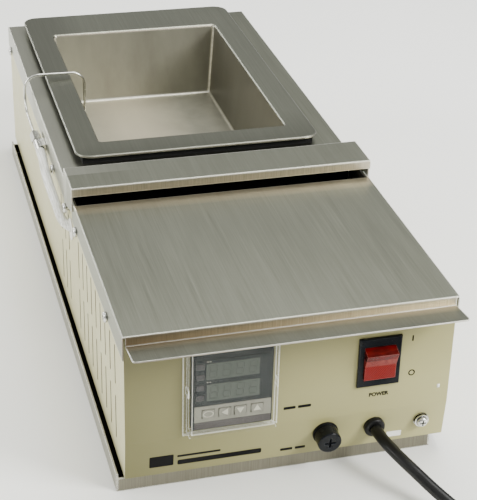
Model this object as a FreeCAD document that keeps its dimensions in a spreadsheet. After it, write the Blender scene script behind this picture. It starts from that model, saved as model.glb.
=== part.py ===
import FreeCAD, Part

# Bench-top electric solder pot with a digital temperature controller.
#
# Millimetres.  +X is the object's right as its front is faced, +Y runs from the front to the
# rear and +Z is up.  The origin lies on the plane that the tray stands on, under the middle of
# the case.

import math
import os
import re

import Sketcher

os.makedirs("parts", exist_ok=True)

Vector = FreeCAD.Vector
Placement = FreeCAD.Placement
Rotation = FreeCAD.Rotation

AXES = {"x": Vector(1, 0, 0), "y": Vector(0, 1, 0), "z": Vector(0, 0, 1)}
UPRIGHT = Rotation()
TO_RIGHT = Rotation(AXES["y"], 90)
TO_LEFT = Rotation(AXES["y"], -90)
TO_REAR = Rotation(AXES["x"], -90)
TO_FRONT = Rotation(AXES["x"], 90)

doc = FreeCAD.newDocument("SolderPot")
dims = doc.addObject("Spreadsheet::Sheet", "dims")

DRIVING = {
    # sheet-metal case
    "case_width": 198, "case_length": 486, "case_top": 108.4, "case_bottom": 9.5,
    "panel_sheet": 1.2, "bend_height": 35, "panel_lean": 2.5, "return_depth": 12,
    "slot_width": 2.2, "slot_pitch": 15.5, "slot_inset": 27.5,
    "upper_slot_low": 60, "upper_slot_high": 87, "lower_slot_low": 21.5, "lower_slot_high": 51.8,
    # tray under the case
    "tray_narrower": 2, "tray_shorter": 17, "tray_wall": 12, "tray_sheet": 1.2,
    "tray_shift": -5.8, "tray_setback": 4, "tray_corner_gap": 0.8,
    "floor_height": 13, "floor_flange": 12, "spacer_radius": 6,
    # covers and hood
    "cover_sheet": 0.8, "cover_gap": 0.2, "cover_drop": 15.6, "cover_bend": 1.0,
    "lip_drop": 5.9, "shelf_depth": 21, "shelf_rise": 2.9, "shelf_corner": 3,
    "hood_rise": 11.3, "hood_length": 31.5, "hood_sheet": 1.0, "hood_gap": 0.1,
    "hood_rear_drop": 25.5, "hood_front_drop": 17, "cover_underlap": 8, "cover_standoff": 2,
    "flange_slit": 1.1, "hood_setback": 22.3, "control_length": 160.5, "partition_setback": 28.5,
    # tank
    "tank_width": 133, "tank_depth": 58, "tank_draft": 4.3, "tank_wall": 2,
    "tank_shift": -2.6, "tank_stand": 7.1, "tank_corner": 2.5, "tank_rim": 2,
    "flange_side": 19, "flange_front": 22.5, "flange_rear": 43, "flange_sheet": 1.5,
    "flange_corner": 11, "flange_to_rear": 1.5, "hole_clearance": 5, "seal_inset": 4.2,
    # heater and insulation
    "insulation_wall": 14, "jacket_sheet": 1.0, "jacket_floor": 28, "jacket_drop": 4.4,
    "strip_width": 44, "strip_spacing": 60, "strip_height": 8, "strip_end": 12,
    "clamp_height": 3, "foot_radius": 6, "foot_inset": 30, "channel_width": 50,
    "channel_height": 12, "lead_radius": 1.6, "lead_spacing": 24,
    # thermocouple
    "probe_radius": 1.0, "probe_inset": 9.5, "probe_setback": 117, "probe_dip": 46,
    "probe_clearance": 3, "probe_offset": 4.6, "probe_drop": 15.2, "probe_run": 62,
    "probe_bend_in": 9, "probe_bend_out": 11, "probe_bend_low": 14,
    "fitting_radius": 3.9, "fitting_length": 29, "sleeve_radius": 3.2, "sleeve_drop": 17.7,
    "entry_drop": 27.2, "entry_setback": 19, "grommet_radius": 7.4, "grommet_thickness": 3,
    # temperature controller
    "controller_width": 47.4, "controller_tall": 52.4, "controller_inset": 61.8,
    "controller_height": 69.2, "controller_proud": 6,
    "controller_body": 44.6, "controller_depth": 78, "clamp_wall": 2.4, "clamp_depth": 8,
    "window_width": 44.2, "window_low": -8, "window_high": 21.6, "window_thickness": 1.2,
    "strip_plate_width": 45.4, "strip_plate_low": -20.4, "strip_plate_high": -9.6,
    "strip_plate_thickness": 0.8, "key_width": 7, "key_height": 5.6, "key_gap": 0.25,
    "key_proud": 0.5, "key_travel": 0.4, "key_thickness": 2.4, "key_level": -14.9,
    "key_one": -14.6, "key_two": -4.8, "key_three": 4.4, "key_four": 14.4,
    "guard_width": 52, "guard_height": 58.8, "guard_depth": 9, "guard_wall": 1.5,
    "guard_rim": 2.3, "guard_rim_depth": 1.6, "guard_nub": 0.6,
    # rocker switch
    "bezel_width": 26.4, "bezel_height": 33.4, "bezel_proud": 2, "switch_width": 22,
    "switch_height": 28, "switch_depth": 22, "switch_level": 71, "rocker_width": 19.4,
    "rocker_opening": 22.4, "rocker_gap": 0.25, "rocker_reach": 12.4, "rocker_swing": 22,
    "rocker_pivot": 2.5, "pin_radius": 1.5, "pin_clearance": 0.05, "pin_length": 0.8,
    # pieces on the leaning strip
    "fitting_height": 23.5, "ground_inset": 15.5, "cord_spacing": 30.3, "fuse_spacing": 30.7,
    "fuse_barrel": 6.1, "fuse_bore": 4.6, "fuse_depth": 38, "fuse_flange": 7.9,
    "fuse_flange_depth": 1.2, "cap_radius": 7.3, "cap_length": 9, "spigot_radius": 3.2,
    "spigot_length": 4.6, "fuse_radius": 3.17, "fuse_length": 31.8, "carrier_length": 10,
    "nut_thickness": 4, "bushing_radius": 6.5, "bushing_proud": 3.6, "bushing_depth": 18,
    "bushing_neck": 5.4, "cord_radius": 3.7, "ground_shank": 2, "washer_radius": 4.8,
    # control compartment
    "relay_width": 45, "relay_length": 58, "relay_height": 23, "relay_inset": 45,
    "relay_setback": 60, "sink_height": 14, "sink_base": 4, "terminal_width": 70,
    "terminal_length": 20, "terminal_height": 15, "terminal_setback": 48, "wire_radius": 1.3,
    # cover screws
    "head_radius": 3.3, "head_height": 2.2, "shank_radius": 1.9, "shank_length": 7,
    "screw_drop": 14.8, "screw_clearance": 0.2,
    # cord coil and plug
    "coil_radius": 41.4, "coil_across": 3, "coil_layers": 3, "coil_x": 136.8, "coil_run": 143,
    "plug_width": 25, "plug_height": 17, "plug_length": 34, "blade_length": 18,
    "blade_width": 6.4, "blade_thickness": 1.5, "blade_spacing": 12.7,
}

DERIVED = {
    "front": "-case_length / 2",
    "rear": "case_length / 2",
    "half": "case_width / 2",
    "cover_half": "half + cover_gap + cover_sheet",
    "cover_top": "case_top + cover_sheet",
    "cover_face": "front - cover_gap - cover_sheet",
    "tray_width": "case_width - tray_narrower",
    "tray_length": "case_length - tray_shorter",
    "hood_face": "front + control_length",
    "hood_back": "hood_face + hood_length",
    "flange_face": "hood_back + hood_setback",
    "tank_front": "flange_face + flange_front",
    "flange_back": "rear - flange_to_rear",
    "tank_back": "flange_back - flange_rear",
    "tank_length": "tank_back - tank_front",
    "tank_middle": "(tank_back + tank_front) / 2",
    "tank_half": "tank_width / 2",
    "tank_top": "cover_top + tank_stand",
    "jacket_top": "case_top - jacket_drop",
    "probe_height": "cover_top - probe_drop",
    "sleeve_height": "cover_top - sleeve_drop",
    "entry_height": "cover_top - entry_drop",
    "tank_bottom": "tank_top - tank_depth - tank_wall",
    "outer_half": "tank_half + tank_wall",
    "outer_front": "tank_front - tank_wall",
    "outer_back": "tank_back + tank_wall",
    "partition_face": "hood_face + partition_setback",
    "jacket_half": "outer_half + insulation_wall",
    "jacket_front": "outer_front - insulation_wall",
    "jacket_back": "outer_back + insulation_wall",
    "strip_top": "tank_bottom",
    "strip_bottom": "strip_top - strip_height",
    "clamp_bottom": "strip_bottom - clamp_height",
    "floor_top": "floor_height + panel_sheet",
    "lean": "atan(panel_lean / (bend_height - case_bottom))",
    "strip_face": "front + panel_lean * (bend_height - fitting_height)"
                  " / (bend_height - case_bottom)",
    "ground_x": "half - ground_inset",
    "cord_x": "ground_x - cord_spacing",
    "fuse_x": "cord_x - fuse_spacing",
    "switch_x": "cord_x - 0.5",
    "controller_x": "-half + controller_inset",
    "controller_face": "front - controller_proud",
    "relay_x": "half - relay_inset",
    "relay_y": "partition_face - relay_setback",
    "terminal_x": "-half + 20 + terminal_width / 2",
    "terminal_y": "partition_face - terminal_setback",
    "probe_y": "tank_front + probe_setback",
    "probe_x": "-cover_half - probe_offset",
    "fitting_y": "probe_y - probe_run",
    "entry_y": "hood_face + entry_setback",
    "screw_level": "cover_top - screw_drop",
    "coil_y": "front - coil_run",
}

WORDS = re.compile(r"\b(" + "|".join([*DRIVING, *DERIVED]) + r")\b")


def fill_sheet():
    """Write each dimension in its own cell: plain numbers first, then what follows from them."""
    for row, (name, content) in enumerate({**DRIVING, **DERIVED}.items(), 1):
        prefix = "=" if name in DERIVED else ""
        dims.set(f"A{row}", name)
        dims.set(f"B{row}", f"{prefix}{content}")
        dims.setAlias(f"B{row}", name)
    doc.recompute()


def value(name):
    """Read one dimension as a number."""
    number = dims.get(name)
    return float(getattr(number, "Value", number))


def formula(text):
    """Point each dimension's name in an expression at its cell."""
    return WORDS.sub(lambda found: "dims." + found.group(0), str(text))


def bind(thing, path, text):
    thing.setExpression(path, formula(text))


def place(thing, x=0, y=0, z=0, turn=UPRIGHT):
    """Give a piece its place from three expressions, after a fixed turn."""
    thing.Placement = Placement(Vector(), turn)
    for axis, text in zip("xyz", (x, y, z)):
        bind(thing, f"Placement.Base.{axis}", text)
    return thing


def lean_on_strip(thing, x):
    """Stand a piece, built about the origin, on the leaning strip of the front panel."""
    thing.Placement = Placement(Vector(), Rotation(AXES["x"], 5))
    for axis, text in zip("xyz", (x, "strip_face", "fitting_height")):
        bind(thing, f"Placement.Base.{axis}", text)
    bind(thing, "Placement.Rotation.Angle", "lean")
    return thing


def box(name, across, deep, high):
    """A block between two places along each axis."""
    block = doc.addObject("Part::Box", name)
    spans = zip("xyz", ("Length", "Width", "Height"), (across, deep, high))
    for axis, size, (low, top) in spans:
        bind(block, f"Placement.Base.{axis}", low)
        bind(block, size, f"({top}) - ({low})")
    return block


def middle_box(name, x, width, deep, high):
    """A block centred on x."""
    return box(name, (f"{x} - ({width}) / 2", f"{x} + ({width}) / 2"), deep, high)


def rod(name, radius, length, x=0, y=0, z=0, turn=UPRIGHT):
    """A round bar that starts at a point and runs the way the turn says."""
    bar = doc.addObject("Part::Cylinder", name)
    bind(bar, "Radius", radius)
    bind(bar, "Height", length)
    return place(bar, x, y, z, turn)


def hexagon(name, across_corners, length, x=0, y=0, z=0, turn=UPRIGHT):
    prism = doc.addObject("Part::Prism", name)
    prism.Polygon = 6
    bind(prism, "Circumradius", across_corners)
    bind(prism, "Height", length)
    return place(prism, x, y, z, turn)


def union(name, *members):
    joined = doc.addObject("Part::MultiFuse", name)
    joined.Shapes = list(members)
    return joined


def together(name, *members):
    """Separate solids kept in one piece."""
    cluster = doc.addObject("Part::Compound", name)
    cluster.Links = list(members)
    return cluster


def cut(name, base, *tools):
    tool = tools[0] if len(tools) == 1 else union(f"{name}_tools", *tools)
    result = doc.addObject("Part::Cut", name)
    result.Base = base
    result.Tool = tool
    return result


def straight_edges(shape, axis, test):
    """Numbers of the straight edges along an axis whose middle passes a test."""
    numbers = []
    for number, edge in enumerate(shape.Edges, 1):
        spread = edge.BoundBox
        sizes = {"x": spread.XLength, "y": spread.YLength, "z": spread.ZLength}
        others = [size for name, size in sizes.items() if name != axis]
        if sizes[axis] > 0.5 and max(others) < 0.01 and test(spread.Center):
            numbers.append(number)
    return numbers


def rounded(name, base, radius, *choices):
    """Round the edges that each (axis, test) choice finds."""
    doc.recompute()
    numbers = []
    for axis, test in choices:
        numbers += straight_edges(base.Shape, axis, test)
    result = doc.addObject("Part::Fillet", name)
    result.Base = base
    result.Edges = [(number, radius, radius) for number in numbers]
    return result


def outline_body(name, plane, outline, low, high):
    """A PartDesign body: a straight-sided outline padded from low to high."""
    body = doc.addObject("PartDesign::Body", name)
    support = next(item for item in body.Origin.OriginFeatures if item.Role == f"{plane}_Plane")
    sketch = body.newObject("Sketcher::SketchObject", f"{name}_outline")
    sketch.AttachmentSupport = [(support, "")]
    sketch.MapMode = "FlatFace"
    start = f"-({high})" if plane == "XZ" else low
    bind(sketch, "AttachmentOffset.Base.z", start)
    count = len(outline)
    turn = 2 * math.pi / count
    corners = [Vector(math.cos(turn * i), math.sin(turn * i), 0) for i in range(count)]
    for index, corner in enumerate(corners):
        sketch.addGeometry(Part.LineSegment(corner, corners[(index + 1) % count]), False)
    for index in range(count):
        following = (index + 1) % count
        sketch.addConstraint(Sketcher.Constraint("Coincident", index, 2, following, 1))
    for index, (corner, point) in enumerate(zip(corners, outline)):
        for kind, number, text in zip(("DistanceX", "DistanceY"), corner, point):
            constraint = Sketcher.Constraint(kind, -1, 1, index, 1, number)
            place_in_list = sketch.addConstraint(constraint)
            bind(sketch, f"Constraints[{place_in_list}]", text)
    pad = body.newObject("PartDesign::Pad", f"{name}_pad")
    pad.Profile = sketch
    bind(pad, "Length", f"({high}) - ({low})")
    return body


def link(name, master, x, y, z, turn=UPRIGHT):
    """One more copy of a piece."""
    copy = doc.addObject("App::Link", name)
    copy.LinkedObject = master
    return place(copy, x, y, z, turn)


def tube_wire(points):
    """Straight runs joined by tangent arcs, each as large as its two runs allow."""
    edges = []
    radii = []
    start = points[0]
    for before, corner, after in zip(points, points[1:], points[2:]):
        arriving = (corner - before).normalize()
        leaving = (after - corner).normalize()
        turn = arriving.getAngle(leaving)
        shorter = min((corner - before).Length, (after - corner).Length)
        reach = 0.45 * shorter
        radius = reach / math.tan(turn / 2)
        radii.append(radius)
        first = corner - arriving * reach
        last = corner + leaving * reach
        inward = (leaving - arriving).normalize()
        middle = corner + inward * (radius / math.cos(turn / 2) - radius)
        edges.append(Part.makeLine(start, first))
        edges.append(Part.Arc(first, middle, last).toShape())
        start = last
    edges.append(Part.makeLine(start, points[-1]))
    return Part.Wire(edges), radii


def tube(name, points, radius):
    """A round tube along tangent arcs; its volume is compared with section times length."""
    wire, radii = tube_wire(points)
    heading = points[1] - points[0]
    section = Part.Wire(Part.makeCircle(radius, points[0], heading))
    shape = wire.makePipeShell([section], True, False)
    if not shape.Solids:
        raise RuntimeError(f"{name} did not sweep")
    expected = math.pi * radius ** 2 * wire.Length
    ratio = shape.Volume / expected
    text = ", ".join(f"{value:.1f}" for value in radii)
    print(f"{name}: length {wire.Length:.1f}, volume ratio {ratio:.4f}, bend radii {text}")
    feature = doc.addObject("Part::Feature", name)
    feature.Shape = shape.Solids[0]
    return feature


# ---------------------------------------------------------------- case, tray and covers

def make_tray():
    """Open pan with four upturned walls that stop short of each other at the corners."""
    left = "tray_shift - tray_width / 2"
    right = "tray_shift + tray_width / 2"
    face = "front + tray_setback"
    back = "front + tray_setback + tray_length"
    pan = box("tray_pan", (left, right), (face, back), (0, "tray_wall"))
    hollow = box(
        "tray_hollow",
        (f"{left} + tray_sheet", f"{right} - tray_sheet"),
        (f"{face} + tray_sheet", f"{back} - tray_sheet"),
        ("tray_sheet", "tray_wall + 1"),
    )
    slits = []
    for end, low in (("front", face), ("back", f"{back} - tray_corner_gap")):
        for side, edge in (("left", left), ("right", f"{right} - tray_corner_gap")):
            slits.append(box(
                f"tray_slit_{end}_{side}",
                (f"{edge}", f"{edge} + tray_corner_gap"),
                (low, f"{low} + tray_corner_gap"),
                ("tray_sheet", "tray_wall + 1"),
            ))
    lowered = [box(f"tray_low_{end}", (f"{left} + tray_sheet", f"{right} - tray_sheet"), span,
                   ("case_bottom - 0.4", "tray_wall + 1"))
               for end, span in (("front", (f"{face} - 1", f"{face} + 2 * tray_sheet")),
                                 ("back", (f"{back} - 2 * tray_sheet", f"{back} + 1")))]
    return cut("base_tray", pan, hollow, *slits, *lowered)


def make_tray_spacers():
    """Four posts that carry the floor plate over the tray."""
    posts = []
    for side in (-1, 1):
        for end in (-1, 1):
            posts.append(rod(
                f"tray_post_{side + 1}{end + 1}", "spacer_radius", "floor_height - tray_sheet",
                f"{side} * (half - 25)", f"{end} * (tray_length / 2 - 45)", "tray_sheet",
            ))
    return together("tray_spacers", *posts)


def make_floor_plate():
    """Plate between the case sides, with both long edges turned up."""
    inner = "half - panel_sheet"
    ends = ("front + panel_sheet + 2.4", "rear - panel_sheet - 0.4")
    block = box("floor_block", (f"-({inner})", inner), ends,
                ("floor_height", "floor_height + floor_flange"))
    hollow = box("floor_hollow", (f"-({inner}) + panel_sheet", f"{inner} - panel_sheet"),
                 ("front", "rear"), ("floor_top", "case_top"))
    return cut("floor_plate", block, hollow)


def slot_boxes():
    """Two rows of vent slots through both sides: nine columns in front, three behind."""
    columns = [f"front + slot_inset + {index} * slot_pitch" for index in range(9)]
    columns += [f"front + slot_inset + {index} * slot_pitch" for index in (10.5, 11.5, 12.5)]
    rows = (("lower", "lower_slot_low", "lower_slot_high"),
            ("upper", "upper_slot_low", "upper_slot_high"))
    boxes = []
    for number, column in enumerate(columns):
        for row, low, high in rows:
            boxes.append(box(
                f"slot_{row}_{number}", ("-half - 1", "half + 1"),
                (f"{column} - slot_width / 2", f"{column} + slot_width / 2"), (low, high),
            ))
    return boxes


def rear_vent_boxes():
    """Upright vents through the rear wall."""
    count = 11
    boxes = []
    for number in range(count):
        x = f"({number} - {(count - 1) / 2}) * case_width / {count + 2}"
        boxes.append(middle_box(f"rear_vent_{number}", x, "slot_width",
                                ("rear - panel_sheet - 1", "rear + 1"),
                                ("lower_slot_low + 10", "lower_slot_high + 10")))
    return boxes


SCREW_ROWS = {
    "rear_cover_back": "rear - 16.5",
    "rear_cover_front": "flange_face + 31",
    "hood": "hood_back - 6",
    "front_cover_back": "hood_face - 9",
    "front_cover_front": "front + 46",
}


def screw_holes(name, radius, low_x, high_x):
    """Holes through both sides for the cover screws."""
    holes = []
    for row, y in SCREW_ROWS.items():
        for side, start in (("left", f"-({high_x})"), ("right", low_x)):
            holes.append(rod(f"{name}_{row}_{side}", radius, f"({high_x}) - ({low_x})",
                             start, y, "screw_level", TO_RIGHT))
    return holes


def make_case_shell():
    """Left side, rear and right side in one bent sheet, open in front."""
    outer = box("shell_outer", ("-half", "half"), ("front + panel_sheet", "rear"),
                ("case_bottom", "case_top"))
    inner = box("shell_inner", ("-half + panel_sheet", "half - panel_sheet"),
                ("front - 1", "rear - panel_sheet"), ("case_bottom - 1", "case_top + 1"))
    walls = cut("shell_walls", outer, inner)
    vents = together("shell_vents", *slot_boxes(), *rear_vent_boxes())
    vented = cut("shell_vented", walls, vents)
    back_of_strip = [
        ("front", "bend_height"),
        ("front + panel_sheet", "bend_height"),
        ("front + panel_lean + panel_sheet", "case_bottom"),
        ("front + panel_lean + panel_sheet", "case_bottom - 1"),
        ("front", "case_bottom - 1"),
    ]
    trim = outline_body("shell_trim", "YZ", back_of_strip, "-half - 1", "half + 1")
    holes = screw_holes("shell_hole", "shank_radius + screw_clearance", "half - 5", "half + 5")
    entry = rod("shell_entry", "grommet_radius - 1", "10", "-half - 5", "entry_y - 2",
                "entry_height + 0.8", TO_RIGHT)
    return cut("case_shell", vented, together("shell_holes", *holes, entry), trim)


def make_front_panel():
    """Upright face with a lower strip that leans back, and a return along each side."""
    outline = [
        ("front", "case_top"),
        ("front", "bend_height"),
        ("front + panel_lean", "case_bottom"),
        ("front + panel_lean + panel_sheet", "case_bottom"),
        ("front + panel_sheet", "bend_height"),
        ("front + panel_sheet", "case_top"),
    ]
    face = outline_body("panel_face", "YZ", outline, "-half", "half")
    pieces = [face]
    for side, low, high in (("left", "-half + panel_sheet", "-half + 2 * panel_sheet"),
                            ("right", "half - 2 * panel_sheet", "half - panel_sheet")):
        pieces.append(box(f"panel_return_{side}", (low, high),
                          ("front + panel_sheet / 2", "front + panel_sheet + return_depth"),
                          ("bend_height", "case_top")))
    sheet = union("panel_sheet_metal", *pieces)
    through = ("front - 5", "front + 8")
    window = middle_box("panel_controller_hole", "controller_x", "controller_body + 0.6", through,
                        ("controller_height - controller_body / 2 - 0.3",
                         "controller_height + controller_body / 2 + 0.3"))
    rocker = middle_box("panel_switch_hole", "switch_x", "switch_width + 0.4", through,
                        ("switch_level - switch_height / 2 - 0.2",
                         "switch_level + switch_height / 2 + 0.2"))
    tools = [window, rocker]
    for name, x, radius in (("fuse", "fuse_x", "fuse_barrel + 0.15"),
                            ("cord", "cord_x", "bushing_neck + 0.15"),
                            ("ground", "ground_x", "ground_shank + 0.15")):
        bore = rod(f"{name}_bore", radius, "30", 0, "-15", 0, TO_REAR)
        tools.append(lean_on_strip(together(f"panel_{name}_hole", bore), x))
    return cut("front_panel", sheet, *tools)


def cover_notches(name, rows):
    """Slots in the side flanges, open below, that hook over the cover screws."""
    notches = []
    for row in rows:
        y = SCREW_ROWS[row]
        notches.append(box(
            f"{name}_notch_{row}", ("-cover_half - 5", "cover_half + 5"),
            (f"{y} - shank_radius - screw_clearance", f"{y} + shank_radius + screw_clearance"),
            ("case_bottom", "screw_level + shank_radius + screw_clearance"),
        ))
    return notches


def make_rear_cover():
    """Flat cover around the tank, turned down at both sides and at the rear."""
    back = "rear + cover_gap + cover_sheet"
    split = "hood_back - cover_underlap"
    outer = box("rear_cover_outer", ("-cover_half", "cover_half"), (split, back),
                ("cover_top - cover_drop", "cover_top"))
    inner = box("rear_cover_inner", ("-half - cover_gap", "half + cover_gap"),
                (f"{split} - 1", "rear + cover_gap"), ("case_bottom", "case_top"))
    opening = box("rear_cover_opening",
                  ("tank_shift - outer_half - hole_clearance",
                   "tank_shift + outer_half + hole_clearance"),
                  ("outer_front - hole_clearance", "outer_back + hole_clearance"),
                  ("case_top - 2", "cover_top + 2"))
    notches = cover_notches("rear_cover", ("rear_cover_back", "rear_cover_front", "hood"))
    sheet = cut("rear_cover_sheet", outer, inner, opening, *notches)
    top = value("cover_top")
    half = value("cover_half")
    return rounded("rear_cover", sheet, value("cover_bend"),
                   ("y", lambda c: abs(c.z - top) < 0.01 and abs(abs(c.x) - half) < 0.01),
                   ("x", lambda c: abs(c.z - top) < 0.01 and c.y > value("rear")))


def make_front_cover():
    """Cover with a short lip and a forward shelf in front, and turned-down sides."""
    split = "hood_face + cover_underlap"
    top_end = "hood_face - cover_standoff"
    shelf = "cover_face - shelf_depth"
    low = "cover_top - lip_drop"
    outline = [
        (top_end, "cover_top"),
        ("cover_face", "cover_top"),
        ("cover_face", low),
        (shelf, f"{low} + shelf_rise"),
        (shelf, f"{low} + shelf_rise - cover_sheet"),
        ("cover_face + cover_sheet", f"{low} - cover_sheet"),
        ("cover_face + cover_sheet", "cover_top - cover_sheet"),
        (top_end, "cover_top - cover_sheet"),
    ]
    sheet = outline_body("front_cover_fold", "YZ", outline, "-cover_half", "cover_half")
    inset = "cover_half - cover_sheet - flange_slit"
    trims = []
    for side, low_x, high_x in (("left", "-cover_half - 1", f"-({inset})"),
                                ("right", inset, "cover_half + 1")):
        trims.append(box(f"shelf_trim_{side}", (low_x, high_x),
                         (f"{shelf} - 1", "cover_face + cover_sheet"),
                         ("case_bottom", "cover_top - cover_sheet")))
    trimmed = cut("front_cover_trimmed", sheet, *trims)
    shelf_edge = value("cover_face") - value("shelf_depth")
    softened = rounded("front_cover_softened", trimmed, value("shelf_corner"),
                       ("z", lambda c: abs(c.y - shelf_edge) < 0.01))
    flanges = []
    for side, low_x, high_x in (("left", "-cover_half", "-cover_half + cover_sheet"),
                                ("right", "cover_half - cover_sheet", "cover_half")):
        flanges.append(box(f"front_cover_flange_{side}", (low_x, high_x),
                           ("cover_face + cover_sheet / 2", split),
                           ("cover_top - cover_drop", "cover_top - cover_sheet / 2")))
    folded = union("front_cover_folded", softened, *flanges)
    notched = cut("front_cover_notched", folded,
                  *cover_notches("front_cover", ("front_cover_back", "front_cover_front")))
    top = value("cover_top")
    half = value("cover_half")
    face = value("cover_face")
    return rounded("front_cover", notched, value("cover_bend") * 0.75,
                   ("y", lambda c: abs(c.z - top) < 0.01 and abs(abs(c.x) - half) < 0.01),
                   ("x", lambda c: abs(c.z - top) < 0.01 and abs(c.y - face) < 0.01))


def make_vent_hood():
    """Raised strip over the gap between the covers, with side ears outside their flanges."""
    top = "cover_top + hood_rise"
    outline = [
        ("hood_back", top),
        ("hood_face", top),
        ("hood_face", f"{top} - lip_drop"),
        ("hood_face + hood_sheet", f"{top} - lip_drop"),
        ("hood_face + hood_sheet", f"{top} - hood_sheet"),
        ("hood_back", f"{top} - hood_sheet"),
    ]
    width = "cover_half + hood_gap + hood_sheet"
    strip = outline_body("hood_strip", "YZ", outline, f"-({width})", width)
    ear = [
        ("hood_back", f"{top} - hood_sheet / 2"),
        ("hood_face + hood_sheet + 0.6", f"{top} - hood_sheet / 2"),
        ("hood_face + hood_sheet + 0.6", f"{top} - hood_front_drop"),
        ("hood_back", f"{top} - hood_rear_drop"),
    ]
    left = outline_body("hood_ear_left", "YZ", ear, f"-({width})", "-cover_half - hood_gap")
    right = outline_body("hood_ear_right", "YZ", ear, "cover_half + hood_gap", width)
    folded = union("hood_folded", strip, left, right)
    holes = [rod(f"hood_hole_{side}", "shank_radius + screw_clearance", "10", x,
                 SCREW_ROWS["hood"], "screw_level", TO_RIGHT)
             for side, x in (("left", "-cover_half - 5"), ("right", "cover_half - 5"))]
    drilled = cut("hood_drilled", folded, *holes)
    level = value("cover_top") + value("hood_rise")
    edge = value("cover_half") + value("hood_gap") + value("hood_sheet")
    face = value("hood_face")
    return rounded("vent_hood", drilled, value("hood_sheet") * 0.75,
                   ("y", lambda c: abs(c.z - level) < 0.01 and abs(abs(c.x) - edge) < 0.01),
                   ("x", lambda c: abs(c.z - level) < 0.01 and abs(c.y - face) < 0.01))


def make_screw():
    """Pan-head screw about the origin: head above z = 0, shank below, cross recess on top."""
    head = rod("screw_head_blank", "head_radius", "head_height")
    doc.recompute()
    rim = [number for number, edge in enumerate(head.Shape.Edges, 1)
           if edge.BoundBox.ZMin > value("head_height") / 2]
    dome = doc.addObject("Part::Fillet", "screw_head")
    dome.Base = head
    radius = value("head_height") * 0.6
    dome.Edges = [(number, radius, radius) for number in rim]
    shank = rod("screw_shank", "shank_radius", "shank_length + 0.5", 0, 0, "-shank_length")
    solid = union("screw_solid", dome, shank)
    recess = [middle_box("screw_slot_one", "0", "head_radius * 1.2", ("-0.45", "0.45"),
                         ("head_height * 0.45", "head_height + 1")),
              middle_box("screw_slot_two", "0", "0.9", ("-head_radius * 0.6", "head_radius * 0.6"),
                         ("head_height * 0.45", "head_height + 1"))]
    return cut("screw_master", solid, *recess)


def make_cover_screws(screw):
    """Five screws on each side; the hood's pair sits on its thicker stack of sheets."""
    copies = []
    for row, y in SCREW_ROWS.items():
        seat = "cover_half + hood_gap + hood_sheet" if row == "hood" else "cover_half"
        copies.append(link(f"screw_left_{row}", screw, f"-({seat})", y, "screw_level", TO_LEFT))
        copies.append(link(f"screw_right_{row}", screw, seat, y, "screw_level", TO_RIGHT))
    return together("cover_screws", *copies)


def make_partition():
    """Wall between the control end and the hot end, with a foot and a lead hole."""
    inner = "half - panel_sheet"
    wall = box("partition_sheet", (f"-({inner}) + panel_sheet", f"{inner} - panel_sheet"),
               ("partition_face", "partition_face + panel_sheet"), ("floor_top", "case_top - 1"))
    foot = box("partition_foot", (f"-({inner}) + panel_sheet", f"{inner} - panel_sheet"),
               ("partition_face - 12", "partition_face + panel_sheet / 2"),
               ("floor_top", "floor_top + panel_sheet"))
    hole = rod("partition_hole", "7", "20", 0, "partition_face - 10",
               "strip_bottom + channel_height / 2 - 1", TO_REAR)
    return cut("partition_wall", union("partition_folded", wall, foot), hole)


def make_partition_grommet():
    """Heat-proof ring around the heater leads."""
    level = "strip_bottom + channel_height / 2 - 1"
    flange = rod("grommet_flange", "9", "2", 0, "partition_face - 2", level, TO_REAR)
    neck = rod("grommet_neck", "7", "5", 0, "partition_face - 1", level, TO_REAR)
    bore = rod("grommet_bore", "5", "20", 0, "partition_face - 10", level, TO_REAR)
    return cut("partition_grommet", union("grommet_solid", flange, neck), bore)


# ---------------------------------------------------------------- tank, heater, insulation

def tapered(name, top_x, top_y, bottom_x, bottom_y, height, z):
    """A block whose half sizes change from bottom to top."""
    wedge = doc.addObject("Part::Wedge", name)
    settings = {
        "Xmin": f"-({bottom_x})", "Xmax": bottom_x, "Zmin": f"-({bottom_y})", "Zmax": bottom_y,
        "X2min": f"-({top_x})", "X2max": top_x, "Z2min": f"-({top_y})", "Z2max": top_y,
        "Ymin": "0", "Ymax": height,
    }
    for path, text in settings.items():
        bind(wedge, path, text)
    return place(wedge, "tank_shift", "tank_middle", z, TO_FRONT)


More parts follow.
